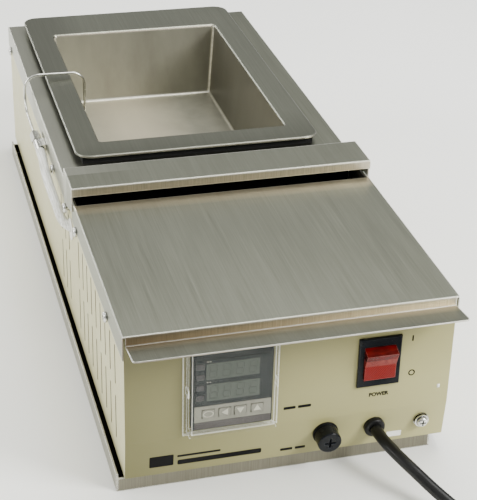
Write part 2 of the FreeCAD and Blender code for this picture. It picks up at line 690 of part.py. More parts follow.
def make_tank():
    """Welded pan with slightly tapered walls and a flat flange with round corners."""
    half_y = "tank_length / 2"
    inside = tapered("tank_inside", "tank_half", half_y, "tank_half - tank_draft",
                     f"{half_y} - tank_draft", "tank_depth", "tank_bottom + tank_wall")
    doc.recompute()
    bottom = value("tank_bottom") + value("tank_wall")
    top = value("tank_top")
    numbers = [number for number, edge in enumerate(inside.Shape.Edges, 1)
               if edge.BoundBox.ZMin < top - 0.01]
    soft_inside = doc.addObject("Part::Fillet", "tank_soft_inside")
    soft_inside.Base = inside
    corner = value("tank_corner")
    soft_inside.Edges = [(number, corner, corner) for number in numbers]
    outside = tapered("tank_outside", "outer_half", f"{half_y} + tank_wall",
                      "outer_half - tank_draft", f"{half_y} + tank_wall - tank_draft",
                      "tank_depth + tank_wall", "tank_bottom")
    sides = ("tank_shift - tank_half - flange_side", "tank_shift + tank_half + flange_side")
    plate = box("flange_plate", sides, ("flange_face", "flange_back"),
                ("tank_top - flange_sheet", "tank_top"))
    left = value("tank_shift") - value("tank_half") - value("flange_side")
    right = value("tank_shift") + value("tank_half") + value("flange_side")
    edge_x = (left, right)
    flange = rounded("flange_soft", plate, value("flange_corner"),
                     ("z", lambda c: min(abs(c.x - edge) for edge in edge_x) < 0.01))
    rim = doc.addObject("Part::Fillet", "flange_rim")
    doc.recompute()
    edges = []
    for number, edge in enumerate(flange.Shape.Edges, 1):
        spread = edge.BoundBox
        if spread.ZMin > top - 0.01:
            edges.append(number)
    rim.Base = flange
    rim_radius = value("flange_sheet") * 0.6
    rim.Edges = [(number, rim_radius, rim_radius) for number in edges]
    solid = union("tank_solid", outside, rim)
    pan = cut("tank_pan", solid, soft_inside)
    doc.recompute()
    mouth = []
    half_width = value("tank_half")
    half_length = value("tank_length") / 2
    for number, edge in enumerate(pan.Shape.Edges, 1):
        spread = edge.BoundBox
        within_x = abs(spread.Center.x - value("tank_shift")) < half_width + 0.5
        within_y = abs(spread.Center.y - value("tank_middle")) < half_length + 0.5
        if spread.ZMin > top - 0.01 and within_x and within_y:
            mouth.append(number)
    tank = doc.addObject("Part::Fillet", "solder_tank")
    tank.Base = pan
    mouth_radius = value("tank_rim")
    tank.Edges = [(number, mouth_radius, mouth_radius) for number in mouth]
    print(f"tank inside bottom at {bottom:.1f}")
    return tank


def ring_box(name, outer_x, outer_y, inner_x, inner_y, high):
    """Rectangular frame around the tank; the sizes are (low, high) pairs."""
    outer = box(f"{name}_outer", outer_x, outer_y, high)
    inner = box(f"{name}_inner", inner_x, inner_y, (f"{high[0]} - 1", f"{high[1]} + 1"))
    return outer, inner


def around(amount):
    """Spans that stand off from the tank's outer walls by an amount."""
    return ((f"tank_shift - outer_half - ({amount})", f"tank_shift + outer_half + ({amount})"),
            (f"outer_front - ({amount})", f"outer_back + ({amount})"))


def make_tank_seal():
    """Black fibre frame that closes the gap between the flange and the cover."""
    spans = around("0.5")
    sides = ("tank_shift - tank_half - flange_side + seal_inset",
             "tank_shift + tank_half + flange_side - seal_inset")
    ends = ("flange_face + seal_inset", "flange_back - seal_inset")
    return cut("tank_seal", *ring_box("seal", sides, ends, *spans,
                                      ("cover_top", "tank_top - flange_sheet")))


def lead_channel(name):
    """Space through the insulation and the jacket for the heater leads."""
    return middle_box(name, "0", "channel_width", ("jacket_front - 5", "outer_front + 12"),
                      ("strip_bottom", "strip_bottom + channel_height - 2"))


def make_jacket():
    """Open-topped sheet box around the insulation."""
    outer_x, outer_y = around("insulation_wall + jacket_sheet")
    inner_x, inner_y = around("insulation_wall")
    outer = box("jacket_outer", outer_x, outer_y, ("jacket_floor", "jacket_top"))
    inner = box("jacket_inner", inner_x, inner_y, ("jacket_floor + jacket_sheet",
                                                   "jacket_top + 1"))
    return cut("heat_jacket", outer, inner, lead_channel("jacket_channel"))


def make_jacket_feet():
    """Four posts that hold the jacket off the floor plate."""
    feet = []
    for side in (-1, 1):
        for end, y in (("front", "jacket_front + foot_inset"), ("back", "jacket_back - foot_inset")):
            feet.append(rod(f"jacket_foot_{end}_{side + 1}", "foot_radius",
                            "jacket_floor - floor_top",
                            f"tank_shift + {side} * (jacket_half - foot_inset)", y, "floor_top"))
    return together("jacket_feet", *feet)


def make_insulation_ring():
    """Ceramic-fibre wall between the jacket and the tank."""
    outer_x, outer_y = around("insulation_wall")
    inner_x, inner_y = around("0.5")
    outer, inner = ring_box("insulation", outer_x, outer_y, inner_x, inner_y,
                            ("clamp_bottom", "jacket_top"))
    return cut("insulation_ring", outer, inner, lead_channel("insulation_channel"))


def make_insulation_slab():
    """Ceramic-fibre floor under the heater."""
    span_x, span_y = around("insulation_wall")
    return box("insulation_slab", span_x, span_y, ("jacket_floor + jacket_sheet", "clamp_bottom"))


def make_heater_strips():
    """Two strip heaters against the tank's underside."""
    strips = []
    for side in (-1, 1):
        x = f"tank_shift + {side} * strip_spacing / 2"
        strips.append(middle_box(f"heater_strip_{side + 1}", x, "strip_width",
                                 ("tank_front + strip_end", "tank_back - strip_end"),
                                 ("strip_bottom", "strip_top")))
    return together("heater_strips", *strips)


def make_heater_clamp():
    """Steel plate that presses the strips against the tank."""
    return middle_box("heater_clamp", "tank_shift", "strip_spacing + strip_width + 6",
                      ("tank_front + strip_end - 4", "tank_back - strip_end + 4"),
                      ("clamp_bottom", "strip_bottom"))


def make_heater_leads():
    """One lead from each strip, through the partition and down to the terminal block."""
    leads = []
    level = value("strip_bottom") + value("channel_height") / 2 - 1
    start_y = value("tank_front") + value("strip_end")
    wall_y = value("partition_face")
    block_y = value("terminal_y")
    block_top = value("floor_top") + value("terminal_height")
    for side in (-1, 1):
        far_x = side * value("lead_spacing") / 2
        near_x = side * 2.4
        drop_x = value("terminal_x") + 12 + side * 6
        points = [
            Vector(far_x, start_y, level),
            Vector(far_x, start_y - 30, level),
            Vector(near_x, wall_y + 22, level),
            Vector(near_x, wall_y - 14, level),
            Vector((near_x + drop_x) / 2, wall_y - 32, level),
            Vector(drop_x, block_y, level - 4),
            Vector(drop_x, block_y, block_top),
        ]
        leads.append(tube(f"heater_lead_{side + 1}", points, value("lead_radius")))
    return together("heater_leads", *leads)


# ---------------------------------------------------------------- thermocouple

def make_probe():
    """Thin steel sheath: down into the tank, over the flange and forward along the side."""
    y = value("probe_y")
    dip_x = value("tank_shift") - value("tank_half") + value("probe_inset")
    over = value("tank_top") + value("probe_clearance")
    side_x = value("probe_x")
    level = value("probe_height")
    points = [
        Vector(dip_x, y, value("tank_top") - value("probe_dip")),
        Vector(dip_x, y, over),
        Vector(side_x, y, over + 0.6),
        Vector(side_x, y, level),
        Vector(side_x, value("fitting_y"), level),
    ]
    bends = [value(name) for name in ("probe_bend_in", "probe_bend_out", "probe_bend_low")]
    return bent_tube("thermocouple_probe", points, value("probe_radius"), bends)


def bent_tube(name, points, radius, bends):
    """A metal tube with a bend radius for each corner."""
    edges = []
    start = points[0]
    for before, corner, after, bend in zip(points, points[1:], points[2:], bends):
        arriving = (corner - before).normalize()
        leaving = (after - corner).normalize()
        turn = arriving.getAngle(leaving)
        reach = bend * math.tan(turn / 2)
        first = corner - arriving * reach
        last = corner + leaving * reach
        inward = (leaving - arriving).normalize()
        middle = corner + inward * (bend / math.cos(turn / 2) - bend)
        edges.append(Part.makeLine(start, first))
        edges.append(Part.Arc(first, middle, last).toShape())
        start = last
    edges.append(Part.makeLine(start, points[-1]))
    wire = Part.Wire(edges)
    section = Part.Wire(Part.makeCircle(radius, points[0], points[1] - points[0]))
    shape = wire.makePipeShell([section], True, False)
    ratio = shape.Volume / (math.pi * radius ** 2 * wire.Length)
    print(f"{name}: length {wire.Length:.1f}, volume ratio {ratio:.4f}")
    feature = doc.addObject("Part::Feature", name)
    feature.Shape = shape.Solids[0]
    return feature


def make_probe_fitting():
    """Hexagon and collar where the sheath joins the braided lead."""
    x, z = "probe_x", "probe_height"
    collar = rod("fitting_collar", "fitting_radius * 0.8", "fitting_length * 0.55", x,
                 "fitting_y - fitting_length * 0.55", z, TO_REAR)
    nut = hexagon("fitting_hexagon", "fitting_radius", "fitting_length * 0.45", x,
                  "fitting_y", z, TO_REAR)
    solid = union("fitting_solid", collar, nut)
    bore = rod("fitting_bore", "probe_radius", "fitting_length", x, "fitting_y", z, TO_REAR)
    return cut("probe_fitting", solid, bore)


def make_probe_bracket():
    """Small clip between the cover's flange and the fitting."""
    plate = box("bracket_plate", ("probe_x", "-cover_half"),
                ("fitting_y - fitting_length * 0.5", "fitting_y - fitting_length * 0.1"),
                ("probe_height - 4.2", "probe_height + 4.2"))
    bore = rod("bracket_bore", "fitting_radius * 0.8", "fitting_length", "probe_x",
               "fitting_y - fitting_length * 0.8", "probe_height", TO_REAR)
    return cut("probe_bracket", plate, bore)


def make_lead_sleeve():
    """Braided lead along the case side that turns in through the grommet."""
    x = value("probe_x")
    level = value("probe_height")
    low = value("sleeve_height")
    start = value("fitting_y") - value("fitting_length") * 0.55
    entry_y = value("entry_y")
    entry_z = value("entry_height")
    span = start - entry_y
    wall = -value("half")
    points = [
        Vector(x, start, level),
        Vector(x, start - span * 0.1, level),
        Vector(x - 1.3, start - span * 0.32, low + 0.9),
        Vector(x - 1.2, start - span * 0.54, low - 0.4),
        Vector(x - 0.2, start - span * 0.76, low - 2.7),
        Vector(wall - 4.6, entry_y + 4, entry_z + 1.8),
        Vector(wall + 12, entry_y - 13, entry_z - 0.4),
    ]
    return tube("lead_sleeve", points, value("sleeve_radius"))


def make_sleeve_grommet():
    """Rubber ring that lines the lead's hole in the case side."""
    spot = ("entry_y - 2", "entry_height + 0.8")
    flange = rod("entry_flange", "grommet_radius", "0.8", "-half - 0.8", *spot, TO_RIGHT)
    neck = rod("entry_neck", "grommet_radius - 1", "grommet_thickness", "-half - 0.4", *spot,
               TO_RIGHT)
    return union("sleeve_grommet_blank", flange, neck)


# ---------------------------------------------------------------- temperature controller

CONTROLLER_KEYS = {"set": "key_one", "shift": "key_two", "down": "key_three", "up": "key_four"}


def make_controller():
    """Housing, front, display window, key strip, four keys, clamp and clear guard."""
    middle = "controller_height"
    half_face = "controller_tall / 2"
    front_block = middle_box("controller_face_block", "controller_x", "controller_width",
                             ("controller_face", "front"),
                             (f"{middle} - {half_face}", f"{middle} + {half_face}"))
    face = value("controller_face")
    soft = rounded("controller_face_soft", front_block, 1.2,
                   ("x", lambda c: abs(c.y - face) < 0.01),
                   ("z", lambda c: abs(c.y - face) < 0.01))
    window_spot = (f"{middle} + window_low", f"{middle} + window_high")
    window_recess = middle_box("window_recess", "controller_x", "window_width",
                               ("controller_face - 1", "controller_face + window_thickness"),
                               window_spot)
    strip_spot = (f"{middle} + strip_plate_low", f"{middle} + strip_plate_high")
    strip_recess = middle_box("strip_recess", "controller_x", "strip_plate_width",
                              ("controller_face - 1", "controller_face + strip_plate_thickness"),
                              strip_spot)
    window = middle_box("display_window", "controller_x", "window_width",
                        ("controller_face - 0.15", "controller_face + window_thickness"),
                        window_spot)
    strip_blank = middle_box("strip_blank", "controller_x", "strip_plate_width",
                             ("controller_face - 0.2", "controller_face + strip_plate_thickness"),
                             strip_spot)
    wells = []
    keys = []
    for name, offset in CONTROLLER_KEYS.items():
        x = f"controller_x + {offset}"
        level = f"{middle} + key_level"
        wells.append(middle_box(
            f"key_well_{name}", x, "key_width + 2 * key_gap",
            ("controller_face - 3", "controller_face - key_proud + key_thickness"
                                    " + key_travel + 0.4"),
            (f"{level} - key_height / 2 - key_gap", f"{level} + key_height / 2 + key_gap")))
        key_block = middle_box(
            f"key_block_{name}", x, "key_width",
            ("controller_face - 0.2 - key_proud", "controller_face - 0.2 - key_proud"
                                                  " + key_thickness"),
            (f"{level} - key_height / 2", f"{level} + key_height / 2"))
        keys.append(rounded(f"key_{name}", key_block, 0.9, ("y", lambda c: True)))
    well_group = together("key_wells", *wells)
    front = cut("controller_front", soft, window_recess, strip_recess, well_group)
    strip = cut("key_strip", strip_blank, well_group)
    body_half = "controller_body / 2"
    housing = middle_box("controller_housing", "controller_x", "controller_body",
                         ("front", "front + controller_depth"),
                         (f"{middle} - {body_half}", f"{middle} + {body_half}"))
    clamp_outer = middle_box("clamp_outer", "controller_x", "controller_body + 2 * clamp_wall",
                             ("front + panel_sheet", "front + panel_sheet + clamp_depth"),
                             (f"{middle} - {body_half} - clamp_wall",
                              f"{middle} + {body_half} + clamp_wall"))
    clamp_inner = middle_box("clamp_inner", "controller_x", "controller_body",
                             ("front - 1", "front + controller_depth"),
                             (f"{middle} - {body_half}", f"{middle} + {body_half}"))
    clamp = cut("controller_clamp", clamp_outer, clamp_inner)
    return [housing, front, window, strip, clamp, *keys]


def make_clear_cover():
    """Snap-on clear box over the controller, with a rim and a nub on each side."""
    middle = "controller_height"
    back = "front - 0.1"
    high = (f"{middle} - guard_height / 2", f"{middle} + guard_height / 2")
    shell = middle_box("guard_shell", "controller_x", "guard_width",
                       ("front - guard_depth", back), high)
    face = value("front") - value("guard_depth")
    soft = rounded("guard_soft", shell, 1.4,
                   ("x", lambda c: abs(c.y - face) < 0.01),
                   ("z", lambda c: abs(c.y - face) < 0.01))
    rim = middle_box("guard_rim_plate", "controller_x", "guard_width + 2 * guard_rim",
                     ("front - guard_rim_depth", back),
                     (f"{high[0]} - guard_rim", f"{high[1]} + guard_rim"))
    nub = middle_box("guard_nubs", "controller_x", "guard_width + 2 * guard_nub",
                     ("front - guard_depth * 0.75", "front - guard_rim_depth / 2"),
                     (f"{middle} - 2.5", f"{middle} + 2.5"))
    hollow = middle_box("guard_hollow", "controller_x", "guard_width - 2 * guard_wall",
                        ("front - guard_depth + guard_wall", "front + 1"),
                        (f"{high[0]} + guard_wall", f"{high[1]} - guard_wall"))
    return cut("clear_cover", union("guard_solid", soft, rim, nub), hollow)


# ---------------------------------------------------------------- rocker switch

def make_switch():
    """Switch body with its bezel, the rocker on its pin, and four rear blades."""
    level = "switch_level"
    bezel_block = middle_box("bezel_block", "switch_x", "bezel_width",
                             ("front - bezel_proud", "front"),
                             (f"{level} - bezel_height / 2", f"{level} + bezel_height / 2"))
    face = value("front") - value("bezel_proud")
    bezel = rounded("bezel_soft", bezel_block, 0.8,
                    ("x", lambda c: abs(c.y - face) < 0.01),
                    ("z", lambda c: abs(c.y - face) < 0.01))
    block = middle_box("switch_block", "switch_x", "switch_width",
                       ("front - 0.5", "front + switch_depth"),
                       (f"{level} - switch_height / 2", f"{level} + switch_height / 2"))
    well = middle_box("switch_well", "switch_x", "rocker_width + 2 * rocker_gap",
                      ("front - bezel_proud - 1", "front + switch_depth - 4"),
                      (f"{level} - rocker_opening / 2", f"{level} + rocker_opening / 2"))
    bearing = rod("switch_bearing", "pin_radius + pin_clearance",
                  "switch_width + 4", "switch_x - switch_width / 2 - 2",
                  "front + rocker_pivot", level, TO_RIGHT)
    body = cut("switch_body", union("switch_solid", bezel, block), well, bearing)
    reach = "rocker_reach"
    tip = "(rocker_swing / 2 + 29.6)"
    outline = []
    for sign in ("", "-"):
        points = [
            (f"-{reach} * sin({tip})", f"{sign}{reach} * cos({tip})"),
            ("-1", f"{sign}(rocker_opening / 2 - 0.55)"),
            ("3", f"{sign}9"),
        ]
        outline += points if sign == "" else points[::-1]
    outline.append((f"-{reach} * sin({tip}) + 1.7", "0"))
    rocker_blank = outline_body("rocker_outline", "YZ", outline, "-rocker_width / 2",
                                "rocker_width / 2")
    pin = rod("rocker_pin", "pin_radius", "rocker_width + 2 * pin_length",
              "-rocker_width / 2 - pin_length", 0, 0, TO_RIGHT)
    rocker = union("switch_rocker", rocker_blank, pin)
    rocker.Placement = Placement(Vector(), Rotation(AXES["x"], 5))
    for axis, text in zip("xyz", ("switch_x", "front + rocker_pivot", level)):
        bind(rocker, f"Placement.Base.{axis}", text)
    bind(rocker, "Placement.Rotation.Angle", "rocker_swing / 2")
    blades = []
    for side in (-1, 1):
        for row in (-1, 1):
            x = f"switch_x + {side} * switch_width / 4"
            blades.append(middle_box(
                f"switch_blade_{side + 1}{row + 1}", x, "0.8",
                ("front + switch_depth", "front + switch_depth + 9"),
                (f"{level} + {row} * 7 - 3.1", f"{level} + {row} * 7 + 3.1")))
    return [body, rocker, together("switch_terminals", *blades)]


# ---------------------------------------------------------------- pieces on the leaning strip

def make_fuse_holder():
    """Barrel through the strip, nut behind it, and a cap, carrier and fuse that pull out."""
    flange = rod("holder_flange", "fuse_flange", "fuse_flange_depth", 0, "-fuse_flange_depth", 0,
                 TO_REAR)
    barrel = rod("holder_barrel", "fuse_barrel", "fuse_depth + 0.5", 0, "-0.5", 0, TO_REAR)
    bore = rod("holder_bore", "fuse_bore", "fuse_depth - 2 + fuse_flange_depth + 1", 0,
               "-fuse_flange_depth - 1", 0, TO_REAR)
    holder = cut("fuse_holder", union("holder_solid", flange, barrel), bore)
    nut_blank = hexagon("nut_blank", "9.5", "nut_thickness", 0, "panel_sheet", 0, TO_REAR)
    nut_bore = rod("nut_bore", "fuse_barrel", "20", 0, "-5", 0, TO_REAR)
    nut = cut("fuse_nut", nut_blank, nut_bore)

    back = "-fuse_flange_depth - 0.1"
    cap_blank = rod("cap_blank", "cap_radius", "cap_length", 0, f"{back} - cap_length", 0, TO_REAR)
    doc.recompute()
    cap_face = value("fuse_flange_depth") + 0.1 + value("cap_length")
    rim = [number for number, edge in enumerate(cap_blank.Shape.Edges, 1)
           if edge.BoundBox.YMax < -cap_face + 0.01]
    cap_soft = doc.addObject("Part::Fillet", "cap_soft")
    cap_soft.Base = cap_blank
    cap_soft.Edges = [(number, 1.0, 1.0) for number in rim]
    depth = (f"{back} - cap_length - 1", f"{back} - cap_length + 2")
    cross = [middle_box("cap_slot_one", "0", "7", depth, ("-0.7", "0.7")),
             middle_box("cap_slot_two", "0", "1.4", depth, ("-3.5", "3.5"))]
    socket = rod("cap_socket", "spigot_radius + 0.08", "spigot_length + 0.15 + 1", 0,
                 f"{back} - spigot_length - 0.15", 0, TO_REAR)
    cap = cut("fuse_cap", cap_soft, *cross, socket)

    spigot = rod("carrier_spigot", "spigot_radius", "spigot_length + 0.5", 0,
                 f"{back} - spigot_length", 0, TO_REAR)
    collar = rod("carrier_collar", "fuse_bore - 0.08", "carrier_length", 0, back, 0, TO_REAR)
    pocket = rod("carrier_pocket", "fuse_radius", "20", 0, "2", 0, TO_REAR)
    carrier = cut("fuse_carrier", union("carrier_solid", spigot, collar), pocket)
    fuse = rod("fuse_link", "fuse_radius", "fuse_length", 0, "2", 0, TO_REAR)
    return [lean_on_strip(piece, "fuse_x")
            for piece in (holder, nut, cap, carrier, together("glass_fuse", fuse))]


def make_cord_bushing():
    """Snap-in strain relief: a round flange outside and a long tapering neck inside."""
    flange = rod("bushing_flange", "bushing_radius", "bushing_proud", 0, "-bushing_proud", 0,
                 TO_REAR)
    doc.recompute()
    face = -value("bushing_proud")
    rim = [number for number, edge in enumerate(flange.Shape.Edges, 1)
           if edge.BoundBox.YMax < face + 0.01]
    soft = doc.addObject("Part::Fillet", "bushing_soft")
    soft.Base = flange
    soft.Edges = [(number, 1.3, 1.3) for number in rim]
    neck = doc.addObject("Part::Cone", "bushing_neck_cone")
    bind(neck, "Radius1", "bushing_neck")
    bind(neck, "Radius2", "cord_radius + 0.9")
    bind(neck, "Height", "bushing_depth")
    place(neck, 0, "-0.5", 0, TO_REAR)
    bore = rod("bushing_bore", "cord_radius", "bushing_proud + bushing_depth + 4", 0,
               "-bushing_proud - 1", 0, TO_REAR)
    return lean_on_strip(cut("cord_bushing", union("bushing_solid", soft, neck), bore), "cord_x")


def make_ground_terminal(screw):
    """Screw, a spring washer between two flat washers, and the nut inside."""
    washers = []
    for name, radius, low, thick in (("back", "washer_radius", "0", "0.8"),
                                     ("spring", "washer_radius * 0.8", "0.8", "1.0"),
                                     ("front", "washer_radius * 0.92", "1.8", "0.7")):
        disc = rod(f"washer_disc_{name}", radius, thick, 0, f"-({low})", 0, TO_FRONT)
        hole = rod(f"washer_hole_{name}", "ground_shank", "8", 0, "2", 0, TO_FRONT)
        washers.append(cut(f"washer_{name}", disc, hole))
    stack = together("ground_washers", *washers)
    body = together("ground_screw", link("ground_screw_copy", screw, 0, "-2.5", 0, TO_FRONT))
    nut_blank = hexagon("ground_nut_blank", "4.2", "3", 0, "panel_sheet", 0, TO_REAR)
    nut_hole = rod("ground_nut_hole", "shank_radius", "8", 0, "-1", 0, TO_REAR)
    nut = cut("ground_nut", nut_blank, nut_hole)
    return [lean_on_strip(piece, "ground_x") for piece in (stack, body, nut)]


# ---------------------------------------------------------------- control compartment

def make_relay():
    """Solid state relay on a finned heat sink."""
    low = ("relay_y - relay_length / 2 - 4", "relay_y + relay_length / 2 + 4")
    sink_block = middle_box("sink_block", "relay_x", "relay_width + 14", low,
                            ("floor_top", "floor_top + sink_height"))
    gaps = []
    fins = 6
    for number in range(fins):
        x = f"relay_x + ({number} - {(fins - 1) / 2}) * (relay_width + 14) / {fins + 0.5}"
        gaps.append(middle_box(f"sink_gap_{number}", x, "5", ("front", "rear"),
                               ("floor_top - 1", "floor_top + sink_height - sink_base")))
    sink = cut("heat_sink", sink_block, together("sink_gaps", *gaps))
    relay_block = middle_box("relay_block", "relay_x", "relay_width",
                             ("relay_y - relay_length / 2", "relay_y + relay_length / 2"),
                             ("floor_top + sink_height",
                              "floor_top + sink_height + relay_height"))
    notches = [middle_box(f"relay_notch_{end}", "relay_x", "relay_width + 2", spots,
                          ("floor_top + sink_height + relay_height * 0.6", "case_top"))
               for end, spots in (("front", ("front", "relay_y - relay_length / 2 + 13")),
                                  ("back", ("relay_y + relay_length / 2 - 13", "rear")))]
    return [sink, cut("solid_state_relay", relay_block, *notches)]


def make_terminal_block():
    """Row of screw terminals between raised walls."""
    block = middle_box("terminal_base", "terminal_x", "terminal_width",
                       ("terminal_y - terminal_length / 2", "terminal_y + terminal_length / 2"),
                       ("floor_top", "floor_top + terminal_height"))
    bays = 6
    pockets = []
    for number in range(bays):
        x = f"terminal_x + ({number} - {(bays - 1) / 2}) * terminal_width / {bays + 0.3}"
        for end, spots in (("front", ("front", "terminal_y - 4")), ("back", ("terminal_y + 4",
                                                                             "rear"))):
            pockets.append(middle_box(f"terminal_bay_{end}_{number}", x, "8", spots,
                                      ("floor_top + terminal_height * 0.55", "case_top")))
    return cut("terminal_block", block, together("terminal_bays", *pockets))


def make_control_wires():
    """Wires from the controller and the switch to the terminal block and the relay."""
    radius = value("wire_radius")
    top = value("floor_top") + value("terminal_height")
    rear_of_controller = value("front") + value("controller_depth")
    low = value("controller_height") - 12
    wires = []
    for number in range(2):
        x = value("controller_x") - 8 + 16 * number
        end_x = value("terminal_x") - 26 + 8 * number
        end_y = value("terminal_y")
        points = [
            Vector(x, rear_of_controller, low),
            Vector(x, rear_of_controller + 16, low),
            Vector(end_x, end_y, low - 16),
            Vector(end_x, end_y, top),
        ]
        wires.append(tube(f"controller_wire_{number}", points, radius))
    blade_end = value("front") + value("switch_depth") + 9
    relay_top = value("floor_top") + value("sink_height") + value("relay_height")
    start = Vector(value("switch_x") + value("switch_width") / 4, blade_end,
                   value("switch_level") + 7)
    middle = start + Vector(2, 22, 0)
    relay_front = value("relay_y")
    wires.append(tube("switch_wire", [
        start, middle, Vector(value("relay_x"), relay_front, relay_top + 22),
        Vector(value("relay_x"), relay_front, relay_top)], radius))
    return together("control_wires", *wires)


# ---------------------------------------------------------------- power cord

# The free stretch of the cord: right and forward from its exit, and height over the table.
CORD_ROUTE = (
    (1.4, -10.0, 21.9),
    (5.8, -22.2, 19.4),
    (12.4, -35.7, 15.8),
    (20.7, -51.0, 10.6),
    (30.5, -68.5, 6.4),
    (36.5, -89.0, 4.1),
)


def cord_exit():
    """Middle of the bushing's outer face."""
    lean = math.radians(value("lean"))
    out = value("bushing_proud")
    return Vector(value("cord_x"), value("strip_face") - out * math.cos(lean),
                  value("fitting_height") - out * math.sin(lean))


def make_cord():
    """Cord from the bushing down to the table and on to the coil."""
    start = cord_exit()
    radius = value("cord_radius")
    contact_x = value("coil_x") - value("coil_radius") - (value("coil_across") - 1) * radius
    contact_y = value("coil_y")
    points = [start]
    points += [Vector(start.x + right, start.y + forward, height)
               for right, forward, height in CORD_ROUTE]
    points.append(Vector(contact_x + 0.8, contact_y + 24.5, radius))
    points.append(Vector(contact_x, contact_y, radius))
    return tube("power_cord", points, radius)


def make_cord_coil():
    """Outer shape of the put-away turns: a ring as wide and as high as they are."""
    radius = value("cord_radius")
    wide = value("coil_across") * radius
    high = value("coil_layers") * 2 * radius
    middle = value("coil_radius")
    ring = Part.makeCylinder(middle + wide, high)
    core = Part.makeCylinder(middle - wide, high + 2, Vector(0, 0, -1))
    feature = doc.addObject("Part::Feature", "cord_coil")
    feature.Shape = ring.cut(core)
    feature.Placement = Placement(Vector(value("coil_x"), value("coil_y"), 0), UPRIGHT)
    return feature


def make_coil_tie():
    """Strap around one side of the coil."""
    radius = value("cord_radius")
    wide = value("coil_across") * radius
    high = value("coil_layers") * 2 * radius
    middle = value("coil_radius")
    strap = 1.2
    around_turns = Part.makeCylinder(middle + wide + strap, high + strap)
    around_turns = around_turns.cut(Part.makeCylinder(middle - wide - strap, high + strap))
    turns = Part.makeCylinder(middle + wide, high).cut(Part.makeCylinder(middle - wide, high))
    width = Part.makeBox(2 * middle, 12, 2 * high, Vector(0, -6, 0))
    feature = doc.addObject("Part::Feature", "coil_tie")
    feature.Shape = around_turns.cut(turns).common(width).Solids[0]
    feature.Placement = Placement(Vector(value("coil_x"), value("coil_y"), 0), UPRIGHT)
    return feature


def make_plug():
    """Two-blade plug that lies on the coil, and the short tail of cord that it ends."""
    radius = value("cord_radius")
    high = value("coil_layers") * 2 * radius
    level = high + value("plug_height") / 2
    x = value("coil_x") - value("coil_radius")
    y = value("coil_y")
    length = value("plug_length")
    back = y - 8
    body = Part.makeBox(value("plug_width"), length, value("plug_height"))
    body = body.makeFillet(4, [edge for edge in body.Edges
                               if edge.BoundBox.YLength > length - 0.01])
    plug = doc.addObject("Part::Feature", "plug_body")
    plug.Shape = body
    plug.Placement = Placement(Vector(x - value("plug_width") / 2, back - length,
                                      level - value("plug_height") / 2), UPRIGHT)
    blades = []
    for side in (-1, 1):
        blade = Part.makeBox(value("blade_thickness"), value("blade_length"), value("blade_width"))
        middle = x + side * value("blade_spacing") / 2
        blades.append(blade.translated(Vector(middle - value("blade_thickness") / 2,
                                              back - length - value("blade_length"),
                                              level - value("blade_width") / 2)))
    pair = doc.addObject("Part::Feature", "plug_blades")
    pair.Shape = Part.makeCompound(blades)
    corner = value("coil_radius") / math.cos(math.radians(15))
    climb = ((15, 0), (45, 0), (75, 0.1), (105, 0.3), (135, 0.6), (165, 1))
    lowest = high + radius
    points = []
    for angle, share in climb:
        turn = math.radians(angle)
        points.append(Vector(value("coil_x") + corner * math.cos(turn), y + corner * math.sin(turn),
                             lowest + share * (level - lowest)))
    points.append(Vector(x, back, level))
    tail = tube("cord_tail", points, radius)
    return [plug, pair, tail]


# ---------------------------------------------------------------- assembly

def check(pieces):
    """Stop if any object failed, or any piece is empty or not valid."""
    doc.recompute()
    for item in doc.Objects:
        if {"Invalid", "Error"} & set(item.State):
            raise RuntimeError(f"{item.Name} failed: {item.State}")
    for piece in pieces:
        shape = piece.Shape
        if shape.isNull() or not shape.isValid() or not shape.Solids:
            raise RuntimeError(f"{piece.Label} has no valid solid")


def main():
    fill_sheet()
    screw = make_screw()
    cord = make_cord()
    sleeve = make_lead_sleeve()
    blank = make_sleeve_grommet()
    sleeve_copy = link("sleeve_space", sleeve, 0, 0, 0)
    grommet = cut("sleeve_grommet", blank, sleeve_copy)
    pieces = [
        make_tray(), make_tray_spacers(), make_floor_plate(), make_case_shell(),
        make_front_panel(), make_rear_cover(), make_front_cover(), make_vent_hood(),
        make_cover_screws(screw), make_partition(), make_partition_grommet(),
        make_tank(), make_tank_seal(), make_jacket(), make_jacket_feet(),
        make_insulation_ring(), make_insulation_slab(), make_heater_strips(),
        make_heater_clamp(), make_heater_leads(), make_probe(), make_probe_fitting(),
        make_probe_bracket(), sleeve, grommet, *make_controller(), make_clear_cover(),
        *make_switch(), *make_fuse_holder(), make_cord_bushing(),
        *make_ground_terminal(screw), *make_relay(), make_terminal_block(),
        make_control_wires(), cord, make_cord_coil(), make_coil_tie(), *make_plug(),
    ]
    check(pieces)
    for piece in pieces:
        piece.Shape.exportStep(f"parts/{piece.Label}.step")
    print(f"{len(pieces)} pieces written")


main()
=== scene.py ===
"""Looks of a bench-top electric solder pot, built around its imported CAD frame."""

import math

import bmesh
import bpy
from mathutils import Matrix, Vector


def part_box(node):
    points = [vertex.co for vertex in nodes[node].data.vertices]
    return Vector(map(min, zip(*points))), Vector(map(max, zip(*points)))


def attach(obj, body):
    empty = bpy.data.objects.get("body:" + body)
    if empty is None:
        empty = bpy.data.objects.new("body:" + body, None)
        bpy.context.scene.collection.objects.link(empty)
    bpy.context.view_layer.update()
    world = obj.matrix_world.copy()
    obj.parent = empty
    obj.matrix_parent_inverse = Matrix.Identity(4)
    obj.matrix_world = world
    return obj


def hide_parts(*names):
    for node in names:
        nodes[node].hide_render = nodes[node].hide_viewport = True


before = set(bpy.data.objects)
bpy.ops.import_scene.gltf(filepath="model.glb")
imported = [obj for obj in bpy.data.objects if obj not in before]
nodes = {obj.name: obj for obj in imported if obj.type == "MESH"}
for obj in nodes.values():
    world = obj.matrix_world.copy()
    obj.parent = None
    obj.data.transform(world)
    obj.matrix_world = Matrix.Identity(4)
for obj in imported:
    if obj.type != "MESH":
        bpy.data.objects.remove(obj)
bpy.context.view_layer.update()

MM = 0.001
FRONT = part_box("front_panel")[0].y
